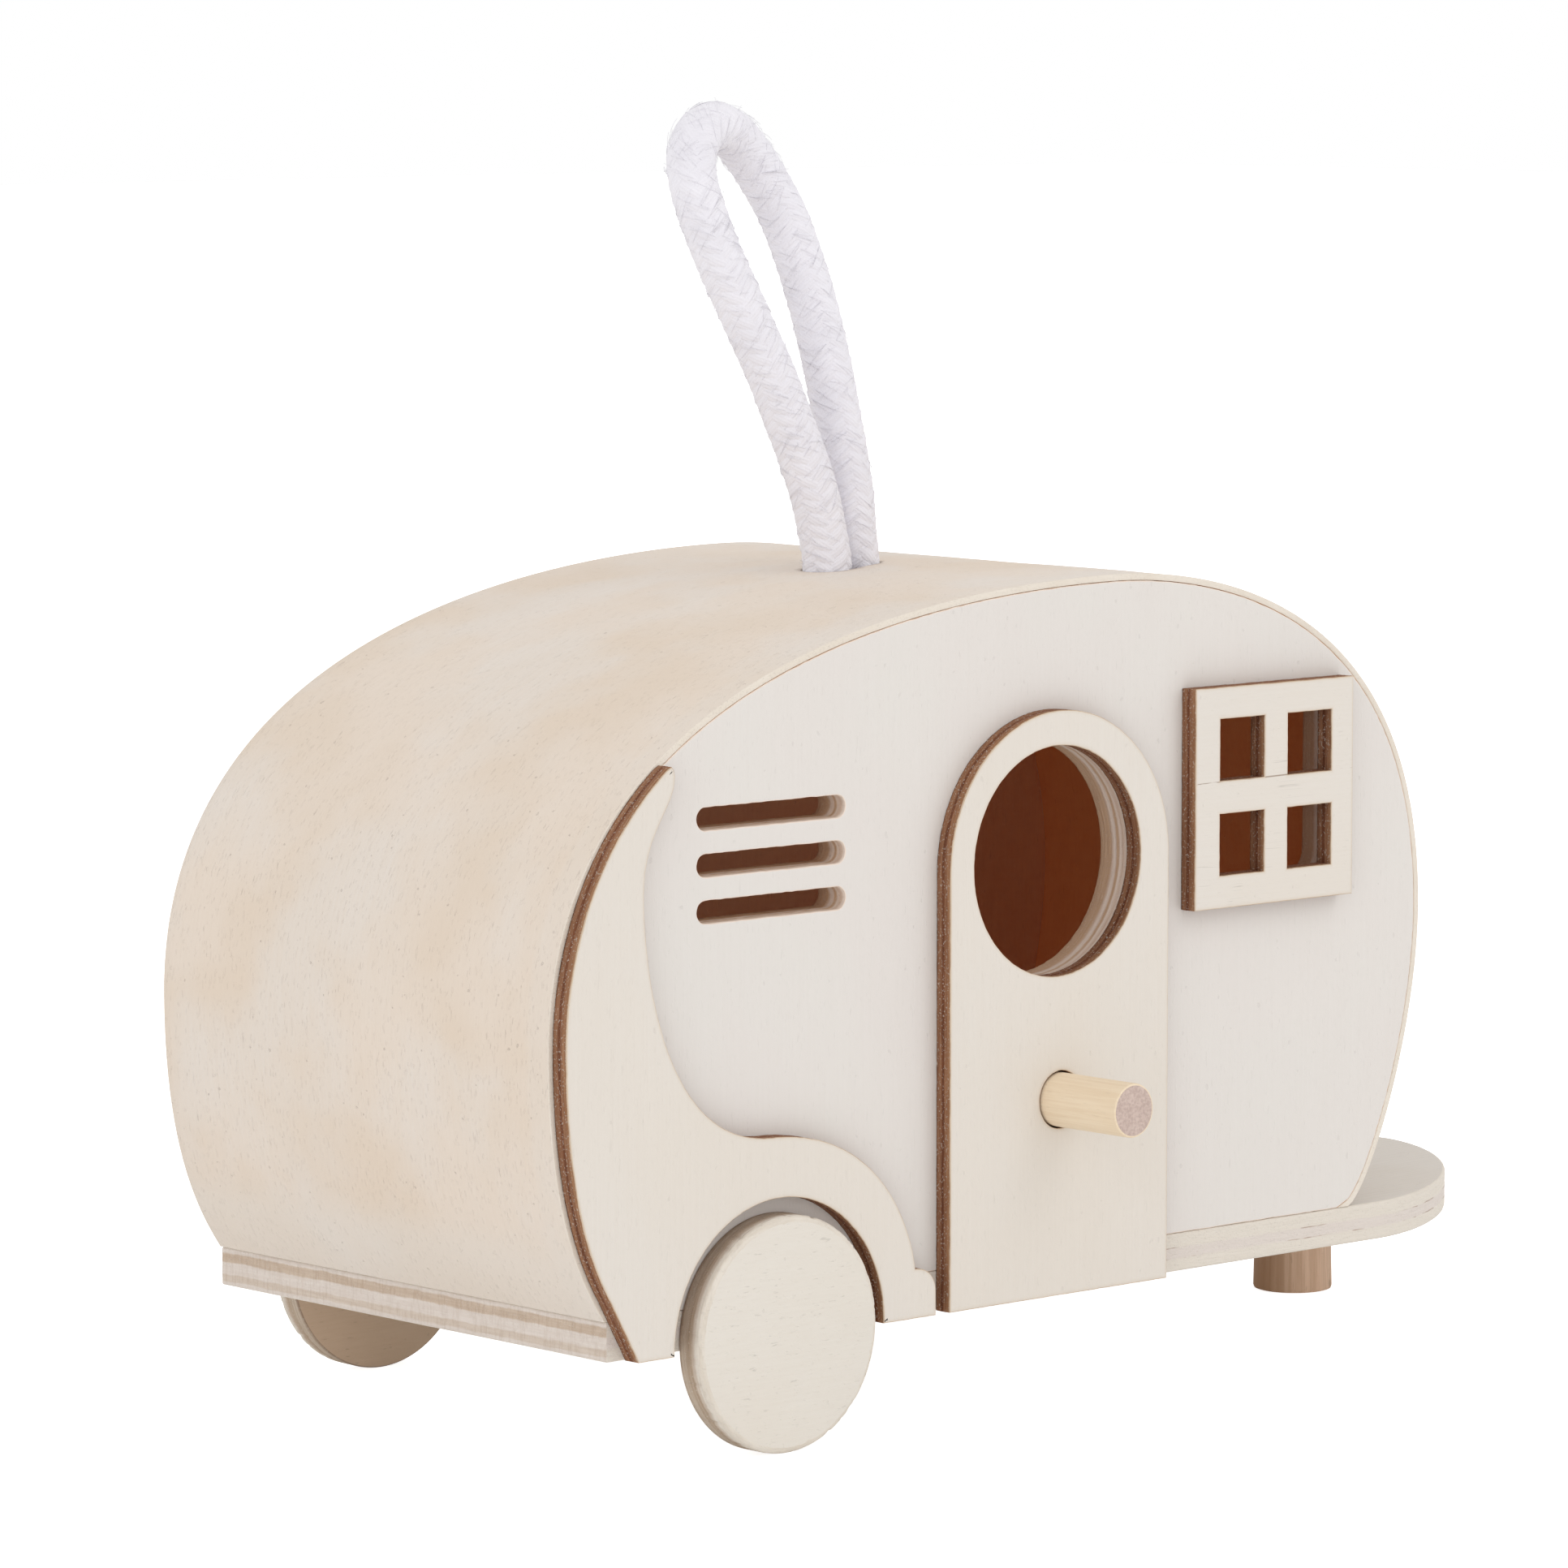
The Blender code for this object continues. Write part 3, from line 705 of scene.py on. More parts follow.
def veneer(name, light, grain_tint, patch_tint, second_tint, per_mm, seed, amounts, relief=0.03,
           scorch=None, laid=None, patch_per_mm=(0.035, 0.035, 0.028)):
    """Face of a board. amounts are the strengths of the streaks, flecks, patches of the first and
    second tint, pits and checks; relief is the depth of its bump in millimetres."""
    made, tree, shader = material(name, 0.62, 0.3)
    spot = in_mm(tree, laid)
    grain = use(tree, wood_grain, Place=spot, Per_mm=per_mm, Seed=seed)
    stains = use(tree, veneer_stains, Place=spot, Patch_per_mm=patch_per_mm, Seed=seed + 4.0)
    streaks, flecks, patches, seconds, pits, checks = amounts
    dark = tuple(0.42 * c for c in grain_tint)
    tint = light
    layers = ((stains["Patch"], patches, patch_tint), (stains["Second"], seconds, second_tint),
              (grain["Streak"], streaks, grain_tint), (grain["Fleck"], flecks, dark),
              (stains["Pit"], pits, dark), (grain["Check"], checks, dark))
    for mask, amount, shade in layers:
        tint = blend(tree, math_node(tree, "MULTIPLY", mask, amount), tint, shade)
    tree.links.new(tint, shader.inputs["Base Color"])
    if scorch:
        rim = tree.nodes.new("ShaderNodeAttribute")
        rim.attribute_name = "rim"
        burnt = math_node(tree, "POWER", rim.outputs["Fac"], 2.0)
        overlay(made, burnt, 0.45, scorch)
    height = math_node(tree, "MULTIPLY_ADD", stains["Pit"], -1.5, grain["Height"])
    bump(tree, shader, height, relief, 0.8)
    return made


def plies(name, normal, start, thickness, bands, speckle, wobble=0.03, roughness=0.8, fibre=0.35,
          tick=0.0, fleck_tint=None, glue=(), glue_tint=(0.20, 0.13, 0.09), blur=0.02):
    """Cut edge of a board; bands are (depth where a ply begins, its colour) from the start up, and
    glue lists the depths of the glue lines that have opened in places."""
    made, tree, shader = material(name, roughness, 0.2)
    cut = use(tree, cut_plies, Normal=normal, Start=start, Thickness=thickness, Wobble=wobble)
    bands_node = tree.nodes.new("ShaderNodeValToRGB")
    stops = bands_node.color_ramp.elements
    wanted = [bands[0]]
    for (_, before), (depth, after) in zip(bands, bands[1:]):
        wanted += [(depth - blur, before), (depth + blur, after)]
    for k, (depth, tint) in enumerate(wanted):
        stop = stops[k] if k < 2 else stops.new(depth)
        stop.position = depth
        stop.color = colour(tint)
    tree.links.new(cut["Depth"], bands_node.inputs["Fac"])
    plain = bands_node.outputs["Color"]
    shade = blend(tree, 1.0, plain, plain)
    shade.node.blend_type = "MULTIPLY"
    shade = blend(tree, 0.5, plain, shade)
    tint = blend(tree, math_node(tree, "MULTIPLY", cut["Fibre"], fibre), plain, shade)
    tint = blend(tree, math_node(tree, "MULTIPLY", cut["Tick"], tick), tint, shade)
    tint = blend(tree, math_node(tree, "MULTIPLY", cut["Speckle"], speckle), tint, fleck_tint or bands[0][1])
    for depth in glue:
        away = math_node(tree, "ABSOLUTE", math_node(tree, "SUBTRACT", cut["Depth"], depth))
        line = math_node(tree, "MULTIPLY", ramp(tree, away, 0.020, 0.006), cut["Broken"])
        tint = blend(tree, math_node(tree, "MULTIPLY", line, 0.75), tint, glue_tint)
    tree.links.new(tint, shader.inputs["Base Color"])
    rough = math_node(tree, "MULTIPLY_ADD", cut["Tick"], -2 * tick, cut["Fibre"])
    bump(tree, shader, math_node(tree, "ADD", rough, cut["Speckle"]), 0.05, 0.8)
    return made


def base_outline():
    """Plan of the base board."""
    points = [vec(0, -BASE_HALF)]
    turns = 90
    for i in range(turns + 1):
        turn = -math.pi / 2 + math.pi * i / turns
        side = math.copysign(abs(math.sin(turn)) ** (2 / TONGUE_POWER), math.sin(turn))
        reach = max(math.cos(turn), 0.0) ** (2 / TONGUE_POWER)
        points.append(vec(TONGUE_START + TONGUE_LENGTH * reach, BASE_HALF * side))
    return points + [vec(0, BASE_HALF)]


SAWN_PALE = (0.74, 0.665, 0.605)
SAWN_TAN = (0.60, 0.485, 0.385)
SAWN_FAINT = (0.66, 0.565, 0.48)
SANDED_CREAM = (0.76, 0.70, 0.62)
SANDED_PINK = (0.735, 0.665, 0.61)
GREY_GRAIN = (0.56, 0.51, 0.45)
base = board("base_ply_board", [base_outline()], lambda u, v, d: at(u, v, BASE_T - d), BASE_T,
             ease=0.35, rim=0.4, rough=0.06, seed=3.0, rings=10)
for face in base.data.polygons:
    if face.material_index == 1 and face.normal.x < -0.9:
        face.material_index = 3
base_face = veneer("base_face", (0.67, 0.625, 0.57), GREY_GRAIN, (0.64, 0.585, 0.52), (0.67, 0.635, 0.60),
                   (0.04, 2.6, 2.6), 2.0, (0.3, 0.15, 0.5, 0.3, 0.15, 0.0))
base_side = plies("base_sanded_edge", (0, 0, 1), base_low.z, BASE_T * MM,
                  [(0.0, SANDED_CREAM), (0.34, SANDED_PINK), (0.62, SANDED_CREAM)], 0.1, wobble=0.06,
                  fibre=0.18, glue=(0.34, 0.62), glue_tint=(0.38, 0.26, 0.20), blur=0.03)
base_rear = plies("base_sawn_edge", (0, 0, 1), base_low.z, BASE_T * MM,
                  [(0.0, SAWN_PALE), (0.13, SAWN_FAINT), (0.31, SAWN_PALE), (0.62, SAWN_TAN),
                   (0.86, SAWN_PALE)], 0.45, wobble=0.12, fibre=0.5, tick=0.6)
put(base, [base_face, base_side, base_face, base_rear], "base_board")

# ---------------------------------------------------------------- side panels
# Two six-millimetre birch plywood panels, routed to the teardrop outline. The door side has the
# entrance hole, perch hole, window opening and three vent slots; all of their edges are routed.
SHEET_T = 1.0
SEAM = 0.08                    # fine gap under the bent sheet
FOOT_GAP = 0.05                # and over the base board
REAR_FOOT = vec(3.0, 0.0)
REAR_FOOT_LEAN = 1.4           # radians from the base's rearward direction
REAR_FOOT_REACH = 5.47
REAR_BULGE = vec(-10.53, 44.45)
REAR_BULGE_REACH = (33.21, 52.94)      # below and above the point
RIDGE = vec(99.81, 105.54)
RIDGE_REACH = (38.19, 18.51)           # behind and ahead of the point
NOSE = vec(165.63, 51.23)
NOSE_REACH = (48.57, 19.61)            # above and below the point
FRONT_FOOT = vec(150.53, BASE_T)
FRONT_FOOT_LEAN = 0.4          # radians that the sheet rises from the base board
FRONT_FOOT_REACH = 4.96
HOLE_CENTRE = vec(85.1, 64.4)
PANEL_HOLE_R = 17.3
PERCH_CENTRE = vec(85.75, 29.1)
PERCH_R = 4.0
WINDOW_X = (116.6, 145.6)
WINDOW_Z = (57.5, 85.0)
VENT_X = (17.0, 45.4)
VENT_Z = (62.0, 68.6, 75.2)
VENT_H = 3.3


def bezier(start, reach_start, reach_end, end, steps):
    """Points of a cubic curve after its start, given its two end points and two handles."""
    points = []
    for i in range(1, steps + 1):
        t = i / steps
        s = 1 - t
        points.append(start * s**3 + reach_start * 3 * s * s * t + reach_end * 3 * s * t * t + end * t**3)
    return points


def roof_line():
    """Side view of the roof sheet's outer surface, rear foot to front foot, run on past both."""
    up, ahead = vec(0, 1), vec(1, 0)
    rear_way, front_way = heading(math.pi - REAR_FOOT_LEAN), heading(FRONT_FOOT_LEAN)
    line = [REAR_FOOT - 2 * rear_way, REAR_FOOT]
    line += bezier(REAR_FOOT, REAR_FOOT + REAR_FOOT_REACH * rear_way,
                   REAR_BULGE - REAR_BULGE_REACH[0] * up, REAR_BULGE, 30)
    line += bezier(REAR_BULGE, REAR_BULGE + REAR_BULGE_REACH[1] * up,
                   RIDGE - RIDGE_REACH[0] * ahead, RIDGE, 80)
    line += bezier(RIDGE, RIDGE + RIDGE_REACH[1] * ahead, NOSE + NOSE_REACH[0] * up, NOSE, 60)
    line += bezier(NOSE, NOSE - NOSE_REACH[1] * up,
                   FRONT_FOOT + FRONT_FOOT_REACH * front_way, FRONT_FOOT, 40)
    return line + [FRONT_FOOT - 8 * front_way]


def shifted(line, depth):
    """The open line moved to its right by a depth."""
    moved = []
    for i, point in enumerate(line):
        along = (line[min(i + 1, len(line) - 1)] - line[max(i - 1, 0)]).normalized()
        moved.append(point + depth * vec(along.y, -along.x))
    return moved


def above(line, floor_z):
    """The stretch of a line above a floor, its two ends cut level with the floor."""
    kept = []
    for a, b in zip(line, line[1:]):
        if (a.y < floor_z) != (b.y < floor_z):
            kept.append(a.lerp(b, (floor_z - a.y) / (b.y - a.y)))
        if b.y >= floor_z:
            kept.append(b)
    return kept


def panel_edge():
    """The edge of a side panel, under the roof sheet and over the base board."""
    return above(shifted(roof_line(), SHEET_T + SEAM), BASE_T + FOOT_GAP)


def rounded_box(xs, zs, radius, steps=6):
    """Rectangle with round corners."""
    points = []
    for x, z, turn in ((xs[1] - radius, zs[1] - radius, 0.0), (xs[0] + radius, zs[1] - radius, 0.5),
                       (xs[0] + radius, zs[0] + radius, 1.0), (xs[1] - radius, zs[0] + radius, 1.5)):
        points += arc(vec(x, z), radius, turn * math.pi, (turn + 0.5) * math.pi, steps)
    return points


def slot(xs, z, height):
    """Long slot whose ends are half circles."""
    half = height / 2
    right = arc(vec(xs[1] - half, z), half, -0.5 * math.pi, 0.5 * math.pi, 12)
    return right + arc(vec(xs[0] + half, z), half, 0.5 * math.pi, 1.5 * math.pi, 12)


def door_lay(face_y):
    """Lays a board upright with its face at a distance in front of the centre plane."""
    return lambda u, v, d: at(u, -face_y + d, v)


panel_holes = [circle(HOLE_CENTRE, PANEL_HOLE_R), circle(PERCH_CENTRE, PERCH_R + 0.15, 48)]
panel_holes.append(rounded_box(WINDOW_X, WINDOW_Z, 3.5))
panel_holes += [slot(VENT_X, z, VENT_H) for z in VENT_Z]
near_panel = board("door_side_ply", [panel_edge()] + panel_holes, door_lay(FACE_Y), PANEL_T,
                   ease=0.15, rim=0.5, rough=0.08, seed=8.0, rings=8)
far_panel = board("far_side_ply", [panel_edge()], lambda u, v, d: at(u, FACE_Y - d, v), PANEL_T,
                  ease=0.15, rim=0.5, rough=0.05, seed=5.0)
panel_face = veneer("panel_face", (0.758, 0.715, 0.674), (0.718, 0.672, 0.625), (0.748, 0.697, 0.660),
                    (0.748, 0.720, 0.675), (2.2, 2.2, 0.07), 0.0, (0.22, 0.10, 0.6, 0.5, 0.10, 0.0))
ROUTED_PALE = (0.85, 0.74, 0.65)
ROUTED_PINK = (0.74, 0.59, 0.48)
ROUTED_TAN = (0.66, 0.47, 0.32)
ROUTED_BANDS = [(0.0, ROUTED_PALE), (0.10, ROUTED_PINK), (0.22, ROUTED_PALE), (0.32, ROUTED_TAN),
                (0.38, ROUTED_PALE), (0.56, ROUTED_TAN)]


def routed_edge(name, start):
    """Routed edge of a side panel that begins at a place along y."""
    return plies(name, (0, 1, 0), start, PANEL_T * MM, ROUTED_BANDS, 0.3, fibre=0.5, blur=0.05)


near_edge = routed_edge("door_side_routed_edge", panel_low.y)
far_edge = routed_edge("far_side_routed_edge", far_panel_low.y)
# Painted light: the panels' inner faces are a much deeper orange than their outer faces, as painted warm
# light for the light that bounces round inside the box.
panel_inside_painted_warmth = veneer("panel_inside_painted_warmth", (0.92, 0.60, 0.37), (0.84, 0.52, 0.30), (0.90, 0.57, 0.35),
                      (0.90, 0.56, 0.32), (2.2, 2.2, 0.07), 9.0, (0.3, 0.2, 0.5, 0.4, 0.2, 0.0))
put(near_panel, [panel_face, near_edge, panel_inside_painted_warmth], "door_side_panel")
put(far_panel, [panel_face, far_edge, panel_inside_painted_warmth], "far_side_panel")

# ---------------------------------------------------------------- roof sheet
# One-millimetre plywood sheet, soaked, bent over both panels and glued down. Its veneer is patchy
# where it took the water, slightly wavy, and has fine pits; the sheet's thin edge is paler.
WAVE = 0.10                    # height of the sheet's slight waves
ROPE_CLEAR = 0.35              # between the two legs of the rope and the edge of their hole


def marked(line, count):
    """A number of points spread evenly along a line."""
    spots = np.array([(p.x, p.y) for p in line])
    run = np.concatenate([[0.0], np.cumsum(np.linalg.norm(np.diff(spots, axis=0), axis=1))])
    marks = np.linspace(0.0, run[-1], count)
    return np.stack([np.interp(marks, run, spots[:, k]) for k in range(2)], axis=1)


def bent_sheet(name):
    """The bent sheet as a closed band: outer face, thin edges, inner face and the two feet. Its
    map holds the place across the sheet and the run along its bend, both in millimetres."""
    stations, columns, ease = 300, 44, 0.15
    depths = [0.0, 0.3 * ease, ease, SHEET_T / 2, SHEET_T - ease, SHEET_T - 0.3 * ease, SHEET_T]
    insets = [ease, 0.3 * ease, 0.0, 0.0, 0.0, 0.3 * ease, ease]
    lines = {d: marked(above(shifted(roof_line(), d), BASE_T + FOOT_GAP), stations) for d in depths}
    across = [FACE_Y * (2 * k / columns - 1) for k in range(columns + 1)]
    across = [y * (FACE_Y - ease) / FACE_Y for y in across]
    ring = [(0.0, y) for y in across]
    ring += [(d, FACE_Y - i) for d, i in zip(depths[1:-1], insets[1:-1])]
    ring += [(SHEET_T, y) for y in across[::-1]]
    ring += [(d, i - FACE_Y) for d, i in zip(depths[-2:0:-1], insets[-2:0:-1])]
    shape = bmesh.new()
    laid = shape.loops.layers.uv.new("laid")
    outer = lines[0.0]
    spacing = float(np.linalg.norm(np.diff(outer, axis=0), axis=1).mean())
    rows = []
    flat = {}
    for i in range(stations):
        row = []
        for depth, y in ring:
            x, z = lines[depth][i]
            lift = WAVE * noise.noise(Vector((x * 0.045, y * 0.05, z * 0.045)))
            lift += 0.35 * WAVE * noise.noise(Vector((x * 0.16, y * 0.18, z * 0.16)))
            ends = min(1.0, i / 12, (stations - 1 - i) / 12, (FACE_Y - abs(y)) / 4)
            ahead = lines[depth][min(i + 1, stations - 1)] - lines[depth][max(i - 1, 0)]
            out = Vector((-ahead[1], 0.0, ahead[0])).normalized() * lift * max(ends, 0.0) * MM
            corner = shape.verts.new(at(x, y, z) + out)
            flat[corner] = vec(y, i * spacing)
            row.append(corner)
        rows.append(row)
    size = len(ring)
    wide = columns + 1
    for low, high in zip(rows, rows[1:]):
        for k in range(size):
            after = (k + 1) % size
            face = shape.faces.new((low[k], low[after], high[after], high[k]))
            inner = wide + len(depths) - 2 <= k < 2 * wide + len(depths) - 3
            face.material_index = 0 if k < columns else 2 if inner else 1
            face.smooth = True
    for row in (rows[0], rows[-1]):
        start = wide + len(depths) - 2
        for k in range(columns):
            low, high = start + columns - k, start + columns - k - 1
            face = shape.faces.new((row[k], row[k + 1], row[high], row[low]))
            face.material_index = 1
        right = [row[columns]] + row[wide:start] + [row[start]]
        left = [row[start + columns]] + row[start + wide:] + [row[0]]
        for fan in (right, left):
            face = shape.faces.new(fan)
            face.material_index = 1
    for face in shape.faces:
        for corner in face.loops:
            corner[laid].uv = flat[corner.vert]
    return meshed(name, shape, 50)


def cut_through(piece, outline, centre, turn, low_z, high_z):
    """Cuts an upright hole of a given outline through a piece and keeps the result."""
    shape = bmesh.new()
    rings = []
    for z in (low_z, high_z):
        ring = []
        for p in outline:
            x = centre[0] + p.x * math.cos(turn) - p.y * math.sin(turn)
            y = centre[1] + p.x * math.sin(turn) + p.y * math.cos(turn)
            ring.append(shape.verts.new(at(x, y, z)))
        rings.append(ring)
    count = len(outline)
    for k in range(count):
        after = (k + 1) % count
        shape.faces.new((rings[0][k], rings[0][after], rings[1][after], rings[1][k]))
    for ring in rings:
        shape.faces.new(ring)
    for face in shape.faces:
        face.material_index = 1
    cutter = meshed("cutter", shape, 50)
    cut = piece.modifiers.new("hole", "BOOLEAN")
    cut.operation = "DIFFERENCE"
    cut.solver = "EXACT"
    cut.object = cutter
    result = bpy.data.meshes.new_from_object(piece.evaluated_get(bpy.context.evaluated_depsgraph_get()))
    piece.modifiers.clear()
    piece.data = result
    bpy.data.objects.remove(cutter, do_unlink=True)


roof_face = veneer("roof_face", (0.760, 0.660, 0.565), (0.71, 0.600, 0.495), (0.715, 0.592, 0.470),
                   (0.750, 0.700, 0.650), (1.9, 0.13, 1.0), 6.0, (0.25, 0.22, 0.65, 0.60, 0.22, 0.0),
                   relief=0.09, laid="laid", patch_per_mm=(0.038, 0.034, 1.0))
PALE_MARGIN = 4.5              # strip along the sheet's edge, where glue kept the stain out
PALE_FOOT = 11.0               # strip over the sheet's rear foot
PALE_WOOD = (0.735, 0.67, 0.60)
roof_tree = roof_face.node_tree
split = roof_tree.nodes.new("ShaderNodeSeparateXYZ")
roof_tree.links.new(in_mm(roof_tree, "laid"), split.inputs[0])
beside = ramp(roof_tree, split.outputs["X"], PALE_MARGIN - FACE_Y + 1.0, PALE_MARGIN - FACE_Y - 1.0)
overlay(roof_face, beside, 0.3, PALE_WOOD)
at_foot = ramp(roof_tree, split.outputs["Y"], PALE_FOOT + 5.0, PALE_FOOT - 3.0)
overlay(roof_face, at_foot, 0.6, PALE_WOOD)
# Painted light: the sheet's inner face is a much deeper orange than its outer face and glows faintly red.
# This stands in for the daylight that comes through the thin sheet and bounces round inside the box.
sheet_inside_painted_glow = veneer("sheet_inside_painted_glow", (0.88, 0.60, 0.31), (0.78, 0.50, 0.24), (0.84, 0.56, 0.28),
                      (0.86, 0.55, 0.26), (1.9, 0.10, 1.0), 2.0, (0.3, 0.2, 0.5, 0.4, 0.2, 0.0), laid="laid")
glowing_inside_shader = sheet_inside_painted_glow.node_tree.nodes["Principled BSDF"]
glowing_inside_shader.inputs["Emission Color"].default_value = (1.0, 0.12, 0.015, 1.0)
glowing_inside_shader.inputs["Emission Strength"].default_value = 0.03     # daylight through the thin sheet
sheet_edge = plies("sheet_edge", (0, 1, 0), -1.0, 2.0, [(0.0, (0.80, 0.73, 0.64)), (0.5, (0.76, 0.68, 0.58))],
                   0.1)
roof = bent_sheet("bent_roof_sheet")
for made in (roof_face, sheet_edge, sheet_inside_painted_glow):
    roof.data.materials.append(made)
CUT_Z = (90, 120)              # foot and head of the body that cuts the rope's hole
hole_half = ROPE_D / 2 + ROPE_CLEAR
hole_reach = ROPE_ROUTE[0][2] + hole_half
cut_through(roof, slot((-hole_reach, hole_reach), 0.0, 2 * hole_half), ROPE_HOLE, LOOP_TURN, *CUT_Z)
put(roof, [], "roof_sheet")

# ---------------------------------------------------------------- mudguard, door and window frame
# Three-ply birch, three millimetres thick, cut by laser and glued to the door side. The beam leaves
# the edges charred: darkest at the back, red-brown in the middle ply and lighter at the front.
TRIM_T = 3.0
TRIM_Y = FACE_Y + TRIM_T
ARCH_CENTRE = vec(30.2, 0.4)
ARCH_R = 20.1
GUARD_INSET = (0.75, 0.25)     # from the roof sheet's outer surface: low down, and at the tip
GUARD_NARROWS = (60.0, 80.0)   # heights between which that distance changes
GUARD_TOP_Z = 83.2
GUARD_FOOT = (3.4, 8.0)        # its rear foot, and the height from which it runs straight to it
TIP_BEND = [vec(9.75, 83.4), vec(10.15, 82.95)]
GUARD_TIP = vec(10.34, 82.1)
TIP_REACH = 4.7                # lengths of the curve handles at the points of its front edge
GUARD_WAIST = vec(4.55, 65.65)
WAIST_REACH = (9.32, 11.67)
GUARD_SHOULDER = vec(28.58, 29.27)
SHOULDER_WAY = heading(-0.02)
SHOULDER_REACH = (20.0, 22.0)
GUARD_HEEL = vec(56.51, 7.24)
HEEL_WAY = heading(-1.45)
HEEL_REACH = 5.0
TOE_X = 60.6
TOE_R = 3.6
TOE_Z = 3.6
TOE_START = math.radians(88)
DOOR_X = (63.4, 108.0)
DOOR_ARCH_Z = 64.2
HOLE_R = 17.0
PERCH_HOLE_R = 4.3
FRAME_X = (113.6, 147.5)
FRAME_Z = (54.6, 87.8)
PANE_X = ((118.8, 128.3), (133.3, 142.8))
PANE_Z = ((59.5, 68.8), (73.75, 83.05))
CHAR_BLACK = (0.15, 0.075, 0.045)
CHAR_BROWN = (0.31, 0.155, 0.085)
CHAR_RED = (0.19, 0.070, 0.032)
CHAR_GOLD = (0.36, 0.19, 0.10)
CHAR_LIP = (0.68, 0.56, 0.43)
ASH = (0.66, 0.57, 0.49)


def guard_rear_edge():
    """The mudguard's rear edge, from its foot to its tip, a little inside the roof sheet's surface."""
    low, high = GUARD_NARROWS
    edge = [vec(GUARD_FOOT[0], 0)]
    for wide, narrow in zip(*(shifted(roof_line(), depth) for depth in GUARD_INSET)):
        point = wide.lerp(narrow, min(max((wide.y - low) / (high - low), 0.0), 1.0))
        if point.x < RIDGE.x and GUARD_FOOT[1] < point.y < GUARD_TOP_Z:
            edge.append(point)
    return edge


def guard_outline():
    """The mudguard: up the rear edge, round the tip, down the waist, over the wheel to the toe."""
    up = vec(0, 1)
    outline = guard_rear_edge() + TIP_BEND + [GUARD_TIP]
    outline += bezier(GUARD_TIP, GUARD_TIP - TIP_REACH * up,
                      GUARD_WAIST + WAIST_REACH[0] * up, GUARD_WAIST, 16)
    outline += bezier(GUARD_WAIST, GUARD_WAIST - WAIST_REACH[1] * up,
                      GUARD_SHOULDER - SHOULDER_REACH[0] * SHOULDER_WAY, GUARD_SHOULDER, 40)
    outline += bezier(GUARD_SHOULDER, GUARD_SHOULDER + SHOULDER_REACH[1] * SHOULDER_WAY,
                      GUARD_HEEL - HEEL_REACH * HEEL_WAY, GUARD_HEEL, 40)
    outline += arc(vec(TOE_X - TOE_R, TOE_Z), TOE_R, TOE_START, 0.0, 10)
    outline += [vec(TOE_X, 0), vec(ARCH_CENTRE.x + ARCH_R, 0)]
    outline += arc(ARCH_CENTRE, ARCH_R, 0.0, math.pi, 60)
    return outline + [vec(ARCH_CENTRE.x - ARCH_R, 0)]


def door_outline():
    """The door: straight sides down to the base's underside and an arched top."""
    half = (DOOR_X[1] - DOOR_X[0]) / 2
    top = arc(vec(DOOR_X[0] + half, DOOR_ARCH_Z), half, 0.0, math.pi, 70)
    return [vec(DOOR_X[0], 0), vec(DOOR_X[1], 0)] + top


trim_start = REAR_END.y - TRIM_Y * MM
trim_edge = plies("laser_charred_edge", (0, 1, 0), trim_start, TRIM_T * MM,
                  [(0.0, CHAR_LIP), (0.05, CHAR_GOLD), (0.24, CHAR_BROWN), (0.44, CHAR_RED),
                   (0.62, CHAR_BROWN), (0.94, CHAR_BLACK)],
                  0.55, wobble=0.14, roughness=0.85, fibre=0.9, fleck_tint=ASH, blur=0.035)
TRIM_TINTS = ((0.755, 0.700, 0.635), (0.72, 0.655, 0.58), (0.745, 0.68, 0.60), (0.745, 0.70, 0.645))
SCORCH = (0.66, 0.55, 0.43)
trim_face = veneer("trim_face", *TRIM_TINTS, (2.6, 2.6, 0.06), 3.0, (0.28, 0.08, 0.5, 0.4, 0.10, 0.0),
                   scorch=SCORCH)
frame_face = veneer("frame_face", *TRIM_TINTS, (0.06, 2.6, 2.6), 4.3, (0.28, 0.10, 0.4, 0.5, 0.10, 0.25),
                    scorch=SCORCH)
SPLIT_Z = (73.55, 73.95)       # heights of a hairline split at the frame's rear and front ends
split_tree = frame_face.node_tree
across = split_tree.nodes.new("ShaderNodeSeparateXYZ")
split_tree.links.new(in_mm(split_tree, None), across.inputs[0])
slope = (SPLIT_Z[1] - SPLIT_Z[0]) / (FRAME_X[1] - FRAME_X[0])
line_z = math_node(split_tree, "MULTIPLY_ADD", across.outputs["X"], slope,
                   (REAR_END.z / MM) + SPLIT_Z[0] - slope * (REAR_END.x / MM + FRAME_X[0]))
off_line = math_node(split_tree, "ABSOLUTE", math_node(split_tree, "SUBTRACT", across.outputs["Z"], line_z))
patchy = vector_node(split_tree, "MULTIPLY", in_mm(split_tree, None), (0.16, 0.16, 2.0))
opened = ramp(split_tree, noise_node(split_tree, patchy, 3.0, 0.6), 0.50, 0.56)
hairline = math_node(split_tree, "MULTIPLY", ramp(split_tree, off_line, 0.16, 0.04), opened)
overlay(frame_face, hairline, 0.8, (0.30, 0.21, 0.15))


def square(xs, zs):
    """Corners of an upright rectangle."""
    return [vec(xs[0], zs[0]), vec(xs[1], zs[0]), vec(xs[1], zs[1]), vec(xs[0], zs[1])]


def trim(name, loops, face, node, seed):
    """Cuts a piece of trim out and lays it on the door side."""
    piece = board(name, loops, door_lay(TRIM_Y), TRIM_T, ease=0.12, rim=0.6, rough=0.05, seed=seed)
    put(piece, [face, trim_edge, face], node)


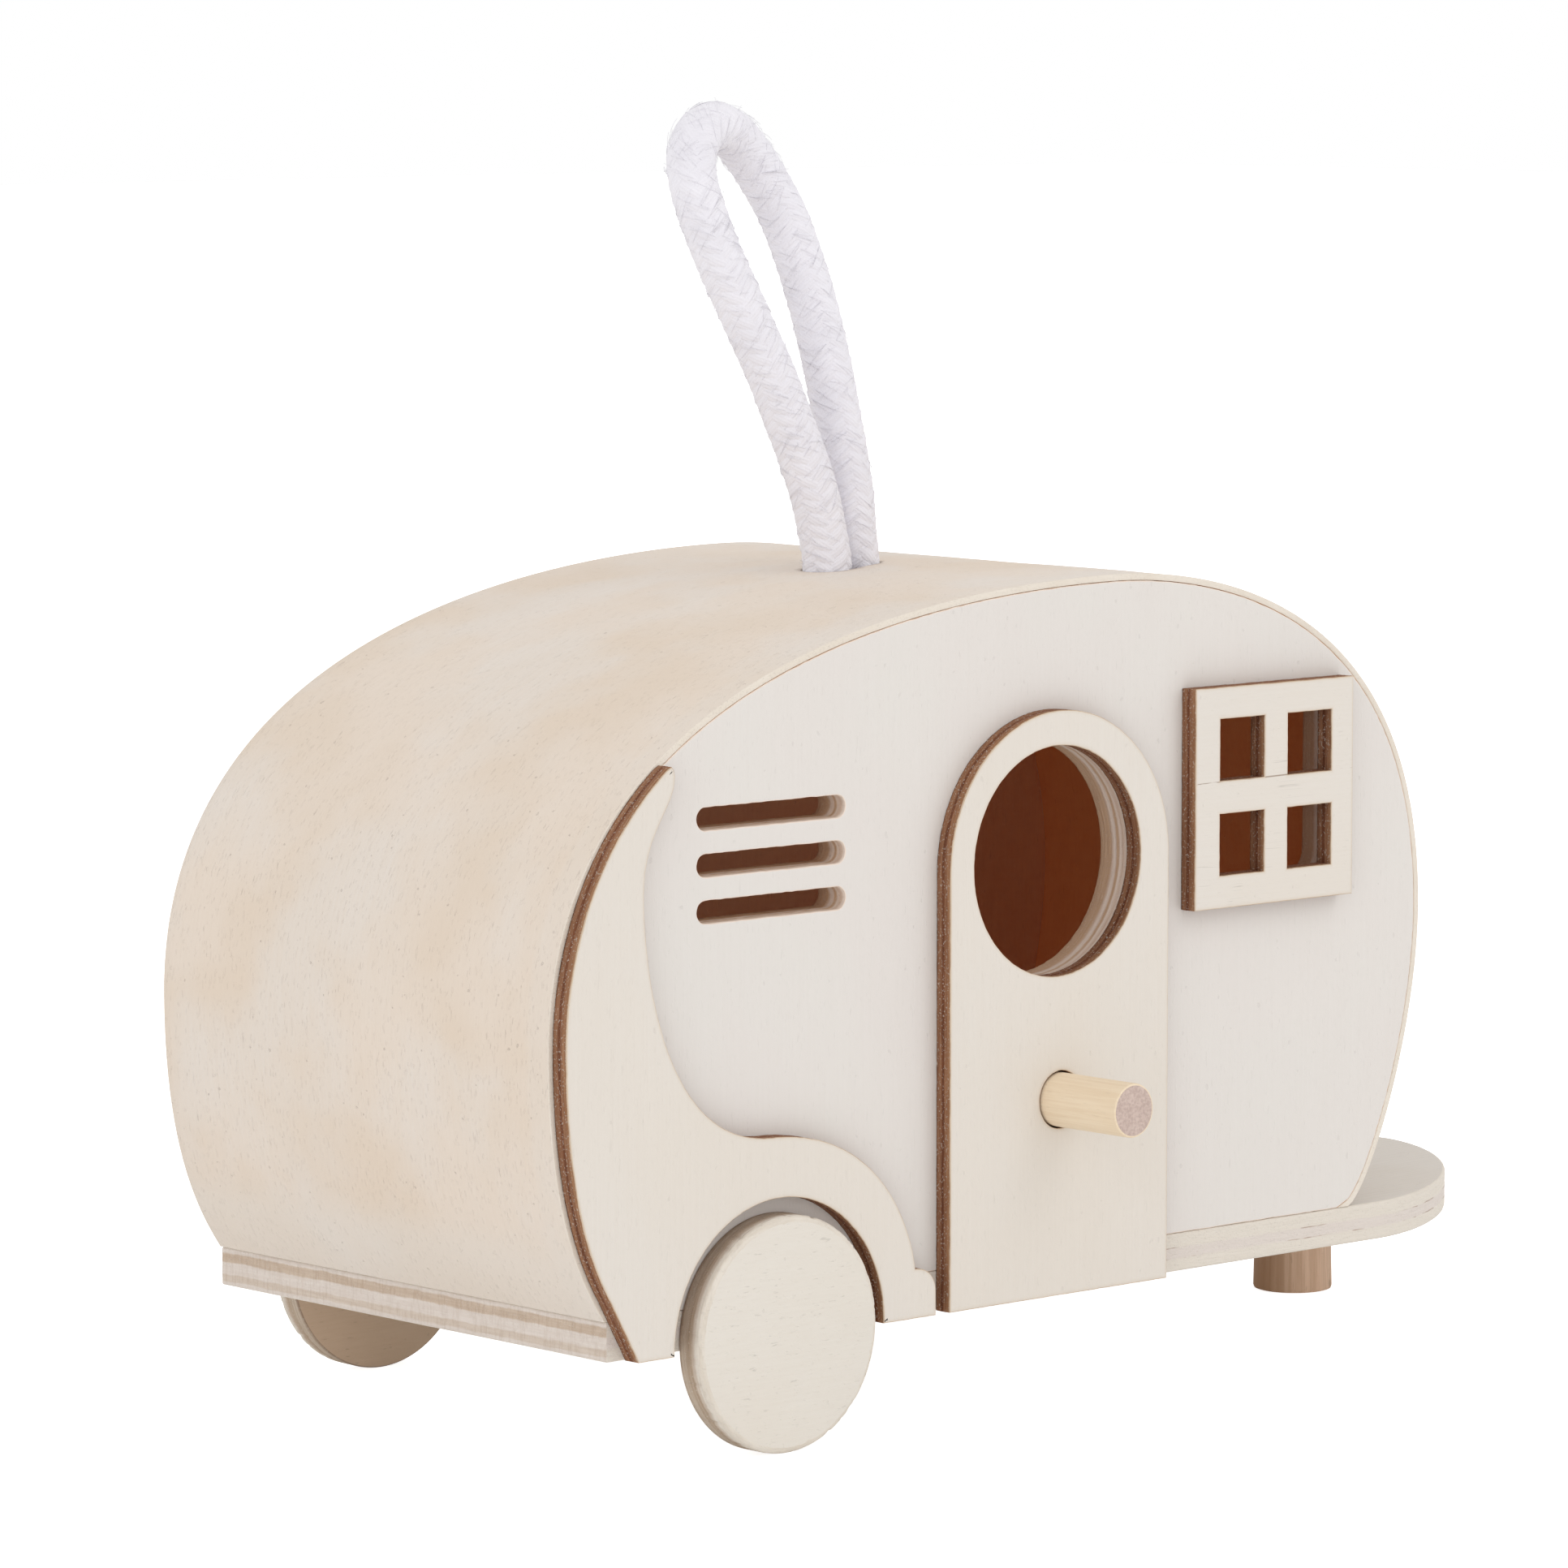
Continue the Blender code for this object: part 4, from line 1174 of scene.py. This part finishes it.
door_holes = [circle(HOLE_CENTRE, HOLE_R), circle(PERCH_CENTRE, PERCH_HOLE_R, 48)]
panes = [square(xs, zs) for xs in PANE_X for zs in PANE_Z]
trim("mudguard", [guard_outline()], trim_face, "door_side_fender", 1.0)
trim("arched_door", [door_outline()] + door_holes, trim_face, "door_overlay", 2.0)
trim("four_pane_frame", [square(FRAME_X, FRAME_Z)] + panes, frame_face, "window_frame", 4.0)

# ---------------------------------------------------------------- perch
# Eight-millimetre softwood dowel, sawn square, tapped through the door and glued in the side panel.
# Its end grain is greyer and open-pored.
PERCH_OUT = 18.2
PERCH_IN = 7.0
PERCH_L = PERCH_OUT + PERCH_IN


def turned(name, profile, sides, place, caps):
    """Body turned about a local axis. profile is (radius, height) from the bottom up; place turns
    local (x, y, height) in millimetres into a place; caps are the first and last faces' slots."""
    shape = bmesh.new()
    rings = []
    for radius, height in profile:
        rings.append([shape.verts.new(place(p.x, p.y, height)) for p in circle(vec(0, 0), radius, sides)])
    for low, high in zip(rings, rings[1:]):
        for k in range(sides):
            after = (k + 1) % sides
            face = shape.faces.new((low[k], low[after], high[after], high[k]))
            face.smooth = True
    for ring, slot_number in zip((rings[0], rings[-1]), caps):
        face = shape.faces.new(ring)
        face.material_index = slot_number
    return meshed(name, shape, 50)


def end_grain(name, light, dark):
    """Sawn end of a round stick: open pores and faint rings."""
    made, tree, shader = material(name, 0.85, 0.2)
    place = tree.nodes.new("ShaderNodeTexCoord")
    fine = vector_node(tree, "MULTIPLY", place.outputs["Object"], (2400.0,) * 3)
    pores = ramp(tree, noise_node(tree, fine, 3.0, 0.6), 0.35, 0.7)
    broad = vector_node(tree, "MULTIPLY", place.outputs["Object"], (260.0,) * 3)
    patch = noise_node(tree, broad, 2.0, 0.5)
    tint = blend(tree, math_node(tree, "MULTIPLY_ADD", patch, 0.6, math_node(tree, "MULTIPLY", pores, 0.4)),
                 light, dark)
    tree.links.new(tint, shader.inputs["Base Color"])
    bump(tree, shader, pores, 0.06)
    return made


perch_turn = [(PERCH_R - 0.3, 0), (PERCH_R - 0.08, 0.08), (PERCH_R, 0.3)]
perch_turn += [(radius, PERCH_L - height) for radius, height in perch_turn[::-1]]
perch = turned("perch_stick", perch_turn, 72,
               lambda x, y, h: at(PERCH_CENTRE.x + x, PERCH_IN - FACE_Y - h, PERCH_CENTRE.y + y), (1, 1))
perch_side = veneer("dowel_side", (0.87, 0.73, 0.545), (0.74, 0.57, 0.385), (0.80, 0.63, 0.43),
                    (0.85, 0.725, 0.56), (2.4, 0.07, 2.4), 5.0, (0.45, 0.12, 0.4, 0.3, 0.05, 0.5))
perch_end = end_grain("dowel_end", (0.74, 0.60, 0.53), (0.46, 0.34, 0.30))
put(perch, [perch_side, perch_end], "perch_dowel")

# ---------------------------------------------------------------- jack peg
# Short hardwood peg, a little tapered, glued under the tongue so that the trailer stands level. It
# is browner than the birch and its grain runs up and down.
PEG_X = 183.6
PEG_R = (6.0, 6.3)             # at the top, and above the rounded edge at its foot
peg_low, peg_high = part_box("jack_peg")
PEG_H = (base_low.z - peg_low.z) / MM
peg_turn = [(PEG_R[1] - 0.5, 0), (PEG_R[1] - 0.15, 0.12), (PEG_R[1], 0.5), (PEG_R[0], PEG_H - 0.02)]
peg = turned("tongue_peg", peg_turn, 72, lambda x, y, h: at(PEG_X + x, y, h - PEG_H), (1, 1))
peg_side = veneer("peg_side", (0.76, 0.535, 0.385), (0.46, 0.28, 0.17), (0.62, 0.41, 0.27),
                  (0.74, 0.55, 0.41), (1.3, 1.3, 0.04), 7.0, (0.6, 0.25, 0.6, 0.5, 0.1, 0.6),
                  patch_per_mm=(0.25, 0.25, 0.02))
PEG_PAINTED_SHADE = (0.28, 0.135, 0.055)       # painted shade: the peg's rear side, away from the lamps
PEG_SHADED_SIDE = Vector((-0.78, 0.62, 0.0))
# Painted shade: the side of the peg turned to the rear and to the far side is darkened to a deep brown, as if
# it were in shadow.
peg_tree = peg_side.node_tree
turned_away = vector_node(peg_tree, "DOT_PRODUCT", in_mm(peg_tree, None), PEG_SHADED_SIDE)
shade_from = PEG_SHADED_SIDE.dot((peg_low + peg_high) / 2) / MM
peg_shade_mask = ramp(peg_tree, turned_away, shade_from - 0.5, shade_from + 5.5)
overlay(peg_side, peg_shade_mask, 0.8, PEG_PAINTED_SHADE)
peg_end = end_grain("peg_end", (0.42, 0.29, 0.19), (0.27, 0.17, 0.10))
put(peg, [peg_side, peg_end], "jack_peg")

# ---------------------------------------------------------------- wheels
# Two plain discs of three-ply, glued flat on the sides. Their front edges are sanded round, with
# small chips along the glue line, and the inner ply of the rim is browner than the outer one.
WHEEL_R = 17.1
WHEEL_CENTRE = vec(30.5, 0.95)
WHEEL_T = 4.6
WHEEL_ROUND = 0.9
CHIP = 0.45                    # depth of the deepest chips
RIM_BANDS = [(0.0, (0.42, 0.31, 0.23)), (0.08, (0.60, 0.50, 0.40)), (0.36, (0.52, 0.41, 0.31)),
             (0.62, (0.66, 0.57, 0.48)), (0.74, (0.77, 0.71, 0.63))]


def wheel_turn():
    """Profile of a wheel from its back face to its rounded front edge."""
    profile = [(WHEEL_R - 0.2, 0.05), (WHEEL_R, 0.25)]
    bends = 5
    for i in range(bends + 1):
        turn = 0.5 * math.pi * i / bends
        profile.append((WHEEL_R - WHEEL_ROUND * (1 - math.cos(turn)),
                        WHEEL_T - WHEEL_ROUND * (1 - math.sin(turn))))
    return profile


def chipped(x, y, h):
    """A point of a wheel, pulled in a little where its front edge has lost a chip."""
    bare = noise.noise(Vector((x * 1.3, y * 1.3, h * 2.0)))
    depth = CHIP * max(0.0, bare - 0.15) * (1.0 if h > WHEEL_T - WHEEL_ROUND - 0.05 else 0.0)
    shrink = 1 - depth / max(math.hypot(x, y), 1.0)
    return x * shrink, y * shrink


def wheel_lay(side):
    """Lays a wheel flat against the side panel on one side, which is -1 for the door's."""
    def place(x, y, h):
        across, up = chipped(x, y, h)
        return at(WHEEL_CENTRE.x + across, side * (FACE_Y + h), WHEEL_CENTRE.y + up)
    return place


wheel_face = veneer("wheel_face", (0.765, 0.715, 0.645), (0.72, 0.66, 0.58), (0.745, 0.685, 0.60),
                    (0.765, 0.725, 0.66), (0.16, 2.2, 2.2), 8.0, (0.3, 0.25, 0.5, 0.4, 0.08, 0.0),
                    relief=0.04)
# Painted shade: the wheels' back faces are a darker, browner copy of their front veneer, for the far wheel's
# back face that shows in shadow under the base.
wheel_back_painted_shade = veneer("wheel_back_painted_shade", (0.60, 0.44, 0.31), (0.53, 0.37, 0.25), (0.57, 0.41, 0.28),
                    (0.62, 0.47, 0.34), (0.16, 2.2, 2.2), 1.0, (0.3, 0.3, 0.5, 0.4, 0.15, 0.0))
for side, node in ((-1, "door_side_wheel"), (1, "far_side_wheel")):
    start = side * (REAR_END.y + side * FACE_Y * MM)
    rim = plies(node + "_rim", (0, side, 0), start, WHEEL_T * MM, RIM_BANDS, 0.3, wobble=0.10,
                fibre=0.8, fleck_tint=(0.82, 0.77, 0.70), glue=(0.80,), glue_tint=(0.42, 0.33, 0.26),
                blur=0.05)
    disc = turned(node + "_disc", wheel_turn(), 256, wheel_lay(side), (2, 1))
    put(disc, [rim, wheel_face, wheel_back_painted_shade], node)
